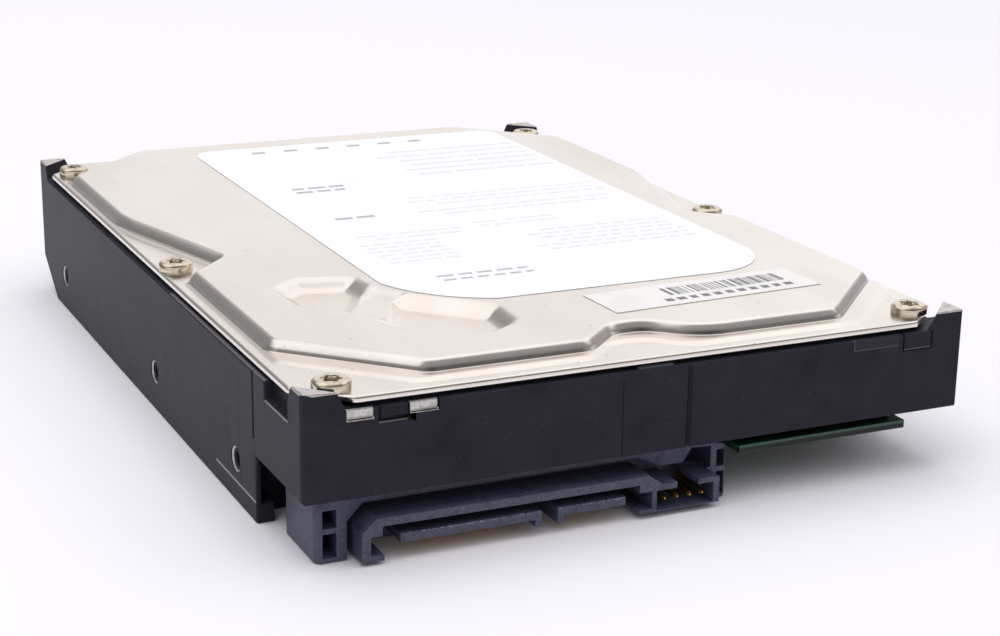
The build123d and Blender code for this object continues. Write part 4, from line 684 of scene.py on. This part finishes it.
def cover_plan():
    """Plan points of the cover's mesh: dense rows along each pressed line, a fine field in the pockets and a
    wide one elsewhere; the rim and the screw holes are its edges."""
    coarse = 1.0
    rim_points, rim_normals = evenly(RIM_LINE, 1.4)
    rows = [rim_points - rim_normals * inwards for inwards in RIM_ROWS]
    rows += copies_of_line(PLATEAU_LINE, FOOT_OUTSIDE - SLOPE_RUN * np.array(SLOPE_ROWS), 0.75 * coarse)
    rows += copies_of_line(STEP_LINE, STEP_ROWS, 0.9 * coarse)
    turn = np.linspace(0, 2 * math.pi, 25)[:-1]
    circle = np.stack([np.cos(turn), np.sin(turn)], axis=1)
    holes = [circle * SCREW_HOLE + place for place in SCREW_PLACES]
    rows += [circle * SCREW_ROW + place for place in SCREW_PLACES]
    rows = [row[distance_to(RIM_LINE, row) < -0.02] for row in rows]
    wide = np.stack(np.meshgrid(np.arange(1.0, WIDTH, 3.0), np.arange(1.0, LENGTH, 3.0)), -1).reshape(-1, 2)
    fine = 0.6 * coarse
    close = np.stack(np.meshgrid(np.arange(10.0, 42.5, fine), np.arange(12.5, 52.5, fine * 0.87)), -1)
    close[1::2, :, 0] += fine / 2
    close = close.reshape(-1, 2)
    dips = (POCKET_A, POCKET_B, SADDLE)
    close = close[(np.minimum.reduce([distance_to(line, close) for line in dips]) < 0.6)
                  & (distance_to(PLATEAU_LINE, close) < -0.9)]
    wide = wide[np.minimum.reduce([distance_to(line, wide) for line in dips]) > 1.5]
    wide = wide[(distance_to(RIM_LINE, wide) < -1.6) & (np.abs(distance_to(PLATEAU_LINE, wide)) > 1.9)
                & (np.abs(distance_to(STEP_LINE, wide)) > 1.2)]
    rows += [np.array([point]) for point in np.concatenate([wide, close])]
    for place in SCREW_PLACES:
        rows = [row[np.hypot(*(row - place).T) > SCREW_HOLE + 0.3] for row in rows]
    return rim_points, rim_normals, holes, [row for row in rows if len(row)]


def stamped_cover():
    """The pressed stainless cover: rim, low step, plateau with steep flanks, two deep pockets with a shallow
    one across them, as one closed sheet."""
    rim_points, rim_normals, holes, rows = cover_plan()
    edges, points = [], []
    for loop in [rim_points] + holes:
        first = len(points)
        points += [tuple(p) for p in loop]
        edges += [(first + k, first + (k + 1) % len(loop)) for k in range(len(loop))]
    for row in rows:
        first = len(points)
        points += [tuple(p) for p in row]
        for k, reach in enumerate(np.hypot(*(np.roll(row, -1, axis=0) - row).T)):
            if 0.01 < reach < LINK:
                edges.append((first + k, first + (k + 1) % len(row)))
    corners, _, triangles, _, _, _ = delaunay_2d_cdt([Vector(p) for p in points], edges, [], 1, 1e-4)
    plan = np.array([tuple(p) for p in corners])
    faces = []
    for face in triangles:
        middle = plan[list(face)].mean(axis=0)
        if all(np.hypot(*(middle - place)) > SCREW_HOLE * 0.99 for place in SCREW_PLACES):
            faces.append(tuple(face))
    top = cover_heights(plan)
    under = np.maximum(RIM_BOTTOM, top - SHEET)
    count = len(plan)
    both = np.concatenate([np.column_stack([plan, top]), np.column_stack([plan, under])])
    shell = faces + [tuple(count + v for v in reversed(face)) for face in faces]
    borders = {(a, b) for face in faces for a, b in zip(face, face[1:] + face[:1])}
    shell += [(b, a, count + a, count + b) for a, b in sorted(borders) if (b, a) not in borders]
    item = own_mesh("stamped_cover", both, shell)

    # shading follows the pressed shape itself, not the facets
    step = 0.05
    slope_x = (cover_heights(plan + (step, 0)) - cover_heights(plan - (step, 0))) / (2 * step)
    slope_y = (cover_heights(plan + (0, step)) - cover_heights(plan - (0, step))) / (2 * step)
    normal = np.column_stack([-slope_x, -slope_y, np.ones(count)])
    outward = {tuple(np.round(p, 3)): n for p, n in zip(rim_points, rim_normals)}
    for i, place in enumerate(plan):
        if tuple(np.round(place, 3)) in outward:
            normal[i] = (*outward[tuple(np.round(place, 3))], 0.15)
    normal /= np.linalg.norm(normal, axis=1)[:, None]
    item.data.shade_smooth()
    loops = []
    for polygon in item.data.polygons:
        for v in polygon.vertices:
            side = normal[v % count] * (1, 1, 0)
            if polygon.index < len(faces):
                loops.append(tuple(normal[v]))
            elif polygon.index < 2 * len(faces) or np.linalg.norm(side) < 0.2:
                loops.append(tuple(polygon.normal))
            else:
                loops.append(tuple(side / np.linalg.norm(side)))
    item.data.normals_split_custom_set(loops)
    return seat(item, ("satin_stainless_sheet",), "top_cover", replaced=("top_cover",))


stamped_cover()


# ------------------------------------------------------------------ case
SIDE_HOLE_HEIGHT, SIDE_HOLE_RIM = 6.35, 1.9
SIDE_HOLE_PLACES = (28.5, 70.1, 130.1)
# two bare recesses of the end wall under the cover's rim, from and to
BARE_RECESSES = ((6.0, 9.7), (14.7, 18.6))
RECESS_DEPTH, RECESS_BOTTOM = 1.5, 20.4
CASE_FINISHES = ("black_electrocoat", "worn_coat_edge", "bare_cast_aluminium")


def at_front_left_edge(edge):
    """Whether an edge is the upright front left edge of the case, which is rounder than the others."""
    ends = [np.array(vert.co) / MM - FRAME_CORNER for vert in edge.verts]
    return all(abs(x) < 0.1 and abs(y) < 0.1 for x, y, _ in ends)


def case_with_bare_posts():
    """The cast case: coat on its walls, worn edges, and bare milled metal on the tops of the posts, in two
    recesses and at the rims of the side holes."""
    item = eased("base_casting", "coated_case", 0.28, CASE_FINISHES, edge_finish=1, segments=3, widest=1.3,
                 wide=at_front_left_edge)
    # the unclamped bevel reaches a little past the case where edges meet
    for vert in item.data.vertices:
        vert.co = np.clip(vert.co, CAD_BOX[0], CAD_BOX[1])
    for polygon in item.data.polygons:
        x, y, z = np.array(polygon.center) / MM - FRAME_CORNER
        on_post = z > POST_TOP - 0.4 and polygon.normal.z > 0.3
        in_recess = (y < RECESS_DEPTH and RECESS_BOTTOM < z < WALL_TOP + 0.2 and polygon.normal.y < -0.5
                     and any(left < x < right for left, right in BARE_RECESSES))
        at_hole = min(x, WIDTH - x) < 0.3 and any(
            math.hypot(y - place, z - SIDE_HOLE_HEIGHT) < SIDE_HOLE_RIM for place in SIDE_HOLE_PLACES)
        if on_post or in_recess or at_hole:
            polygon.material_index = CASE_FINISHES.index("bare_cast_aluminium")


case_with_bare_posts()
eased("cover_gasket", "rubber_gasket", 0.15, ("butyl_rubber",))

# six-lobe screws: a flat head with a turned chamfer, six lobes in its socket, and a plain shank
HEAD_HEIGHT = SCREWS_HIGH[2] - RIM_TOP
SHANK = RIM_TOP - SCREWS_LOW[2]
LOBED_SCREW = turned_template("lobed_screw", [
    (1.0, -SHANK, 0), (1.4, -SHANK + 0.4, 0), (1.4, -0.05, 0), (1.6, 0, 0), (HEAD_RADIUS, 0, 0),
    (HEAD_RADIUS, HEAD_HEIGHT - 0.42, 0), (HEAD_RADIUS - 0.08, HEAD_HEIGHT - 0.3, 0),
    (HEAD_RADIUS - 0.34, HEAD_HEIGHT - 0.04, 0), (HEAD_RADIUS - 0.45, HEAD_HEIGHT, 0),
    (1.34, HEAD_HEIGHT, 0.17), (1.22, HEAD_HEIGHT - 0.14, 0.17), (1.2, HEAD_HEIGHT - 0.9, 0.17),
    (0.9, HEAD_HEIGHT - 0.98, 0.1)], around=72, wave=6)
repeated("cover_lobed_screws", LOBED_SCREW, [(x, y, RIM_TOP, 1, 1, 1, 0.4) for x, y in SCREW_PLACES],
         "nickel_plated_steel", "cover_screws", replaced=("cover_screws",), wander=0.5, seed=4)


# ------------------------------------------------------------------ labels and their print
INK = 0.012
LABEL_TOP = PLATEAU_TOP + 0.1
DASH_GAP = 0.8
random.seed(7)


def line_of_print(left, right, y, height, shortest=1.6, longest=5.0):
    """Dashes of uneven length along a row, as lines of small print look from afar."""
    dashes, x = [], left
    while x < right - DASH_GAP:
        run = min(random.uniform(shortest, longest), right - x)
        dashes.append((x + run / 2, y, LABEL_TOP, run, height, INK, 0))
        x += run + DASH_GAP
    return dashes


def block_of_print(left, right, near, far, pitch, height, **words):
    """Rows of print with ragged ends."""
    rows = []
    for k in range(int((far - near) / pitch) + 1):
        ragged = random.uniform(0, 0.2) * (right - left)
        rows += line_of_print(left + ragged, right, near + k * pitch, height, **words)
    return rows


eased("cover_label", "large_paper_label", 0.03, ("coated_label_paper",), segments=1)
eased("barcode_label", "small_paper_label", 0.03, ("matt_label_paper",), segments=1)
repeated("pale_rows_of_print", BAR,
         block_of_print(58.0, 86.0, 50.5, 64.0, 2.3, 0.95, longest=3.5)
         + block_of_print(31.5, 45.0, 52.0, 63.5, 2.2, 0.9, longest=3.0)
         + block_of_print(52.0, 69.5, 68.2, 71.0, 2.3, 0.8)
         + block_of_print(46.0, 85.5, 78.0, 81.0, 2.6, 0.9)
         + block_of_print(49.0, 87.0, 85.0, 92.0, 2.6, 0.8)
         + block_of_print(33.0, 52.0, 66.0, 70.0, 2.4, 0.8)
         + block_of_print(56.0, 88.0, 107.0, 126.0, 3.8, 1.2, shortest=4.0, longest=14.0),
         "pale_blue_ink", "cover_label")
repeated("grey_rows_of_print", BAR,
         block_of_print(33.0, 51.5, 40.0, 44.0, 2.3, 0.8, longest=3.0)
         + line_of_print(34.5, 41.5, 80.8, 1.2, shortest=2.4, longest=3.4)
         + block_of_print(33.0, 44.5, 101.0, 105.0, 2.6, 1.2, shortest=1.6, longest=3.5)
         + [(39.0 + 6.4 * k, 134.6, LABEL_TOP, 2.6, 1.4, INK, 0) for k in range(6)],
         "grey_ink", "cover_label")

BARCODE_TURN = math.radians(3.1)
BARCODE_MIDDLE = (WIDTH - 31.3, 21.2)


def on_small_label(x, y, width, height):
    """Bar on the small label, from the label's middle and along its own sides."""
    turn = np.array(((math.cos(BARCODE_TURN), -math.sin(BARCODE_TURN)),
                     (math.sin(BARCODE_TURN), math.cos(BARCODE_TURN))))
    place = turn @ (x, y) + BARCODE_MIDDLE
    return (*place, LABEL_TOP, width, height, INK, BARCODE_TURN)


def row_of_bars(left, right, y, height):
    """Plain bars of four widths with uneven gaps."""
    bars, x = [], left
    while x < right:
        bar = random.choice((0.22, 0.22, 0.44, 0.66))
        bars.append(on_small_label(x + bar / 2, y, bar, height))
        x += bar + random.choice((0.22, 0.3, 0.44, 0.6))
    return bars


repeated("row_of_plain_bars", BAR,
         row_of_bars(-6.0, 14.4, 1.2, 3.6)
         + [on_small_label(-7.5 + 2.1 * k, -2.6, random.uniform(0.9, 1.5), 1.3) for k in range(11)],
         "black_ink", "barcode_label")

# ------------------------------------------------------------------ connector
eased("sata_housing", "connector_housing", 0.14, ("glass_filled_nylon",))
for contacts in ("power_contacts", "signal_contacts"):
    eased(contacts, contacts[:-1] + "_strips", 0.05, ("gold_plated_bronze",), segments=1)

PINS_LOW, PINS_HIGH = box_of("jumper_pins")
PIN = PINS_HIGH[2] - PINS_LOW[2]


def jumper_pin_row():
    """Four square pins with pointed tips."""
    half, tip = PIN / 2, 0.2
    points, faces = [], []
    for k in range(4):
        x = PINS_LOW[0] + half + k * (PINS_HIGH[0] - PINS_LOW[0] - PIN) / 3
        z = PINS_LOW[2] + half
        first = len(points)
        for y, reach in ((PINS_LOW[1], half - tip), (PINS_LOW[1] + 2 * tip, half), (PINS_HIGH[1], half)):
            points += [(x + sx * reach, y, z + sz * reach) for sx, sz in ((-1, -1), (1, -1), (1, 1), (-1, 1))]
        for ring in (0, 4):
            faces += [tuple(first + ring + v for v in (i, (i + 1) % 4, (i + 1) % 4 + 4, i + 4))
                      for i in range(4)]
        faces += [tuple(first + v for v in (3, 2, 1, 0)), tuple(first + v for v in (8, 9, 10, 11))]
    item = own_mesh("pointed_jumper_pins", points, faces)
    with reshaped(item.data) as shape:
        bmesh.ops.recalc_face_normals(shape, faces=shape.faces)
    return seat(item, ("gold_plated_bronze",), "jumper_pins", replaced=("jumper_pins",))


jumper_pin_row()

# ------------------------------------------------------------------ circuit board and what is on it
eased("circuit_board", "masked_circuit_board", 0.08, ("green_solder_mask",))
eased("board_foam", "board_foam_pad", 0.3, ("open_cell_foam",))
CHIP_PIN = bar_template("gull_wing_pin", ease=0.1)
# a chip's pins: their length, the part of it inside the body, and the margin at the body's corners; how far
# below the body's upper end they start, their height, and the share of the pitch that is metal
PIN_REACH, PIN_TUCK, PIN_MARGIN = 0.9, 0.15, 0.6
PIN_FOOT, PIN_HEIGHT, PIN_SHARE = 0.32, 0.3, 0.45
for chip, pitch in (("controller_chip", 0.8), ("motor_driver_chip", 0.65), ("memory_chip", 1.27)):
    eased(chip, chip + "_body", 0.12, ("moulded_epoxy",))
    low, high = box_of(chip)
    out = PIN_REACH / 2 - PIN_TUCK
    pins = []
    # pins along two sides, then along the other two, which swaps what runs along X and along Y
    for along, way in ((0, 1), (1, -1)):
        for k in range(int((high[along] - low[along] - 2 * PIN_MARGIN) / pitch) + 1):
            for side in (low[1 - along] - out, high[1 - along] + out):
                x, y = (low[along] + PIN_MARGIN + k * pitch, side)[::way]
                wide, deep = (pitch * PIN_SHARE, PIN_REACH)[::way]
                pins.append((x, y, high[2] - PIN_FOOT, wide, deep, PIN_HEIGHT, 0))
    repeated(chip + "_pins", CHIP_PIN, pins, "tinned_copper", "circuit_board")

# ------------------------------------------------------------------ inside
INSIDE = {
    # node: (piece, rounding of its edges, finish)
    "board_small_parts": ("small_board_parts", 0.1, "tan_ceramic"),
    "board_screws": ("board_fixing_screws", 0.12, "nickel_plated_steel"),
    "head_connector": ("head_plug_block", 0.15, "black_polyester"),
    "motor_bracket": ("turned_motor_bracket", 0.15, "turned_aluminium"),
    "motor_screws": ("bracket_screws", 0.1, "nickel_plated_steel"),
    "lower_yoke": ("lower_yoke_plate", 0.15, "electroless_nickel"),
    "upper_yoke": ("upper_yoke_plate", 0.2, "electroless_nickel"),
    "lower_magnet": ("lower_magnet_block", 0.2, "nickel_on_neodymium"),
    "upper_magnet": ("upper_magnet_block", 0.2, "nickel_on_neodymium"),
    "yoke_nuts": ("yoke_fixing_nuts", 0.08, "ground_steel"),
    "crash_stops": ("rubber_crash_stops", 0.2, "nitrile_rubber"),
    "pivot_screw": ("pivot_cap_screw", 0.12, "nickel_plated_steel"),
    "flex_bracket": ("flex_clamp_bracket", 0.15, "black_polyester"),
    "recirculation_filter": ("felt_filter_pad", 0.4, "polyester_felt"),
    "breather_filter": ("breather_filter_case", 0.25, "offwhite_polycarbonate"),
    "spindle_hub": ("turned_spindle_hub", 0.12, "turned_aluminium"),
    "platter_spacer": ("turned_spacer_ring", 0.1, "turned_aluminium"),
    "disk_clamp": ("turned_disk_clamp", 0.15, "turned_aluminium"),
    "clamp_screws": ("disk_clamp_screws", 0.08, "nickel_plated_steel"),
    "arm_block": ("milled_arm_block", 0.12, "turned_aluminium"),
    "load_beams": ("etched_load_beams", 0.03, "electroless_nickel"),
    "head_sliders": ("ground_head_sliders", 0.04, "slider_ceramic"),
    "voice_coil": ("wound_voice_coil", 0.35, "enamelled_copper"),
    "coil_overmould": ("moulded_coil_rim", 0.15, "black_polyester"),
    "latch_lever": ("moulded_latch_lever", 0.2, "ivory_acetal"),
    "stator_coils": ("wound_stator_coils", 0.3, "enamelled_copper"),
}
for node, (piece, radius, finish_name) in INSIDE.items():
    eased(node, piece, radius, (finish_name,))

# CAD nodes that are shown as they are, with a finish of their own
SHOWN_AS_BUILT = {
    "sintered_bronze": ("bearing_sleeve",),
    "laminated_motor_steel": ("stator_core",),
    "polyimide_film": ("motor_flex",),
    "ground_steel": ("yoke_posts", "pivot_shaft", "bearing_inner_races", "bearing_outer_races",
                     "bearing_balls", "latch_pin", "spindle_shaft"),
    "nickel_on_neodymium": ("rotor_magnet",),
    "sputtered_disk": ("lower_platter", "upper_platter"),
    "turned_aluminium": ("pivot_sleeve",),
    "green_solder_mask": ("preamp_board",),
}
for finish_name, nodes in SHOWN_AS_BUILT.items():
    for node in nodes:
        NODES[node].data.materials.clear()
        NODES[node].data.materials.append(FINISHES[finish_name].material)

# edges of the flex cable longer than this in mm are cut in two, three times over
FLEX_EDGE = 0.8


def bending_flex():
    """The flex cable between its bracket and the arm block, cut into small faces."""
    item = merged_copy("flex_cable")
    with reshaped(item.data) as shape:
        for _ in range(3):
            long_edges = [edge for edge in shape.edges if edge.calc_length() > FLEX_EDGE * MM]
            bmesh.ops.subdivide_edges(shape, edges=long_edges, cuts=1, use_grid_fill=True)
        bmesh.ops.triangulate(shape, faces=[face for face in shape.faces if len(face.verts) > 4])
    ribbon = made_final(item, "bending_flex_cable")
    ribbon.data.materials.append(FINISHES["polyimide_film"].material)
    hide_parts("flex_cable")
    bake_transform(ribbon)


bending_flex()


# ------------------------------------------------------------------ floor, light and camera
FLOOR_HALF = 4.0
FLOOR_GLOW = 0.015
# what lights the object: the tent's level in front and behind, and at its roof
AMBIENT = (1.05, 0.7)
AMBIENT_TOP = 1.3
# what gloss and the camera see: the tent's level, its tones from front to back, from left to right and from
# the bottom up, and its share low in front
ROOF = 1.3
ROOF_TONES = [(0.0, 0.01), (0.12, 0.02), (0.25, 0.2), (0.41, 0.28), (0.46, 0.85), (0.54, 1.0), (0.85, 0.95),
              (0.93, 0.82)]
SIDE_TONES = [(0.15, 0.2), (0.38, 0.3), (0.5, 0.5), (0.62, 1.0), (0.86, 1.0), (0.93, 0.33)]
HEIGHT_TONES = [(0.68, 0.97), (0.7, 0.88), (0.73, 0.9), (0.76, 1.0)]
LOW_FRONT = 0.65
LAMP_PLACE, LAMP_SIDE, LAMP_POWER = (-0.3, 0.0, 1.5), 1.6, 10.6
VIEW_PLACE, VIEW_LENS, VIEW_SENSOR = (-0.12996, -0.30041, 0.10801), 72.80, 36.0
# degrees to the right, down, and about the line of sight
VIEW_TURN = (25.11, 16.90, 0.86)


def seen_directly(tree):
    """1 for what the camera sees by itself or in a gloss, 0 for what lights the object."""
    paths = add(tree, "ShaderNodeLightPath").outputs
    gloss = add(tree, "ShaderNodeMath", {0: paths["Is Glossy Ray"], 1: paths["Is Transmission Ray"]},
                operation="MAXIMUM")
    return add(tree, "ShaderNodeMath", {0: gloss.outputs[0], 1: paths["Is Camera Ray"]},
               operation="MAXIMUM").outputs[0]


def paper_floor():
    """Plain pale paper, lifted a little where the camera or a gloss sees it."""
    mesh = bpy.data.meshes.new("paper_floor")
    corners = [(x * FLOOR_HALF, y * FLOOR_HALF, 0) for x, y in ((-1, -1), (1, -1), (1, 1), (-1, 1))]
    mesh.from_pydata(corners, [], [(0, 1, 2, 3)])
    floor = in_scene("paper_floor", mesh)
    material = bpy.data.materials.new("white_paper")
    material.use_nodes = True
    tree = material.node_tree
    tree.nodes.clear()
    paper = add(tree, "ShaderNodeBsdfPrincipled", {"Base Color": "#F0EEF4", "Roughness": 0.9,
                                                   "Specular IOR Level": 0.1})
    share = times(SimpleNamespace(tree=tree), seen_directly(tree), FLOOR_GLOW)
    glow = add(tree, "ShaderNodeEmission", {"Color": "#F6F3FA", "Strength": share})
    both = add(tree, "ShaderNodeAddShader", {0: paper.outputs["BSDF"], 1: glow.outputs["Emission"]})
    add(tree, "ShaderNodeOutputMaterial", {"Surface": both.outputs["Shader"]})
    mesh.materials.append(material)


def light_tent():
    """A white tent, open towards the viewer: what lights the drive, and what its gloss shows. The gloss shows
    white above and behind, and a darker room in front and, low down, at the sides."""
    world = bpy.data.worlds.new("light_tent")
    bpy.context.scene.world = world
    world.use_nodes = True
    tree = world.node_tree
    tree.nodes.clear()
    tent = SimpleNamespace(tree=tree)
    direction = add(tree, "ShaderNodeTexCoord").outputs["Generated"]
    split = add(tree, "ShaderNodeSeparateXYZ", {"Vector": direction}).outputs
    # ramps along the direction's own axes: from, to, and their values there
    spans = {}
    for name, axis, start, end, low, high in (
            ("depth", "Y", -1.0, 1.0, 0.0, 1.0), ("width", "X", -1.0, 1.0, 0.0, 1.0),
            ("height", "Z", -1.0, 1.0, 0.0, 1.0), ("high", "Z", 0.5, 0.75, 0.0, 1.0),
            ("low", "Z", 0.34, 0.47, 1.0, 0.0), ("in_front", "Y", 0.1, -0.15, 0.0, 1.0),
            ("ambient_depth", "Y", -0.7, 0.4, *AMBIENT),
            ("ambient_height", "Z", 0.18, 0.75, 0.0, AMBIENT_TOP)):
        span = add(tree, "ShaderNodeMapRange", {"Value": split[axis], "From Min": start, "From Max": end,
                                                "To Min": low, "To Max": high})
        spans[name] = span.outputs["Result"]
    in_depth, in_width, in_height = (
        add(tree, "ShaderNodeValToRGB", {"Fac": spans[name]}, stops=stops).outputs["Color"]
        for name, stops in (("depth", ROOF_TONES), ("width", SIDE_TONES), ("height", HEIGHT_TONES)))
    low_sides = add(tree, "ShaderNodeMix", {0: spans["high"], 2: in_width, 3: 1.0}).outputs[0]
    low_in_front = times(tent, spans["low"], spans["in_front"])
    share = add(tree, "ShaderNodeMix", {0: low_in_front, 2: times(tent, in_depth, low_sides, in_height),
                                        3: LOW_FRONT}).outputs[0]
    tone = add(tree, "ShaderNodeBackground", {"Color": "#FDFBFC", "Strength": times(tent, share, ROOF)})
    level = times(tent, spans["ambient_depth"], spans["ambient_height"])
    plain = add(tree, "ShaderNodeBackground", {"Color": "#FDFCFF", "Strength": level})
    mix = add(tree, "ShaderNodeMixShader", {0: seen_directly(tree), 1: plain.outputs["Background"],
                                            2: tone.outputs["Background"]})
    add(tree, "ShaderNodeOutputWorld", {"Surface": mix.outputs["Shader"]})


def overhead_lamp():
    """One wide soft lamp above and a little to the left."""
    data = bpy.data.lights.new("overhead_softbox", "AREA")
    data.shape = "RECTANGLE"
    data.size, data.size_y = LAMP_SIDE, LAMP_SIDE
    data.energy = LAMP_POWER
    data.color = linear("#FFFEFC")[:3]
    lamp = in_scene("overhead_softbox", data)
    lamp.location = LAMP_PLACE
    lamp.rotation_euler = (-Vector(LAMP_PLACE)).to_track_quat("-Z", "Y").to_euler()
    lamp.visible_glossy = False


def camera():
    """A long lens from the left front, a little above."""
    data = bpy.data.cameras.new("view")
    data.lens, data.sensor_width = VIEW_LENS, VIEW_SENSOR
    data.clip_start = 0.01
    view = in_scene("view", data)
    yaw, pitch, roll = (math.radians(angle) for angle in VIEW_TURN)
    forward = Vector((math.sin(yaw) * math.cos(pitch), math.cos(yaw) * math.cos(pitch), -math.sin(pitch)))
    right = Vector((math.cos(yaw), -math.sin(yaw), 0))
    up = right.cross(forward)
    right, up = (right * math.cos(roll) + up * math.sin(roll), up * math.cos(roll) - right * math.sin(roll))
    turn = Matrix((right, up, -forward)).transposed().to_4x4()
    view.matrix_world = Matrix.Translation(VIEW_PLACE) @ turn
    bpy.context.scene.camera = view


paper_floor()
light_tent()
overhead_lamp()
camera()
bpy.context.scene.view_settings.view_transform = "Standard"
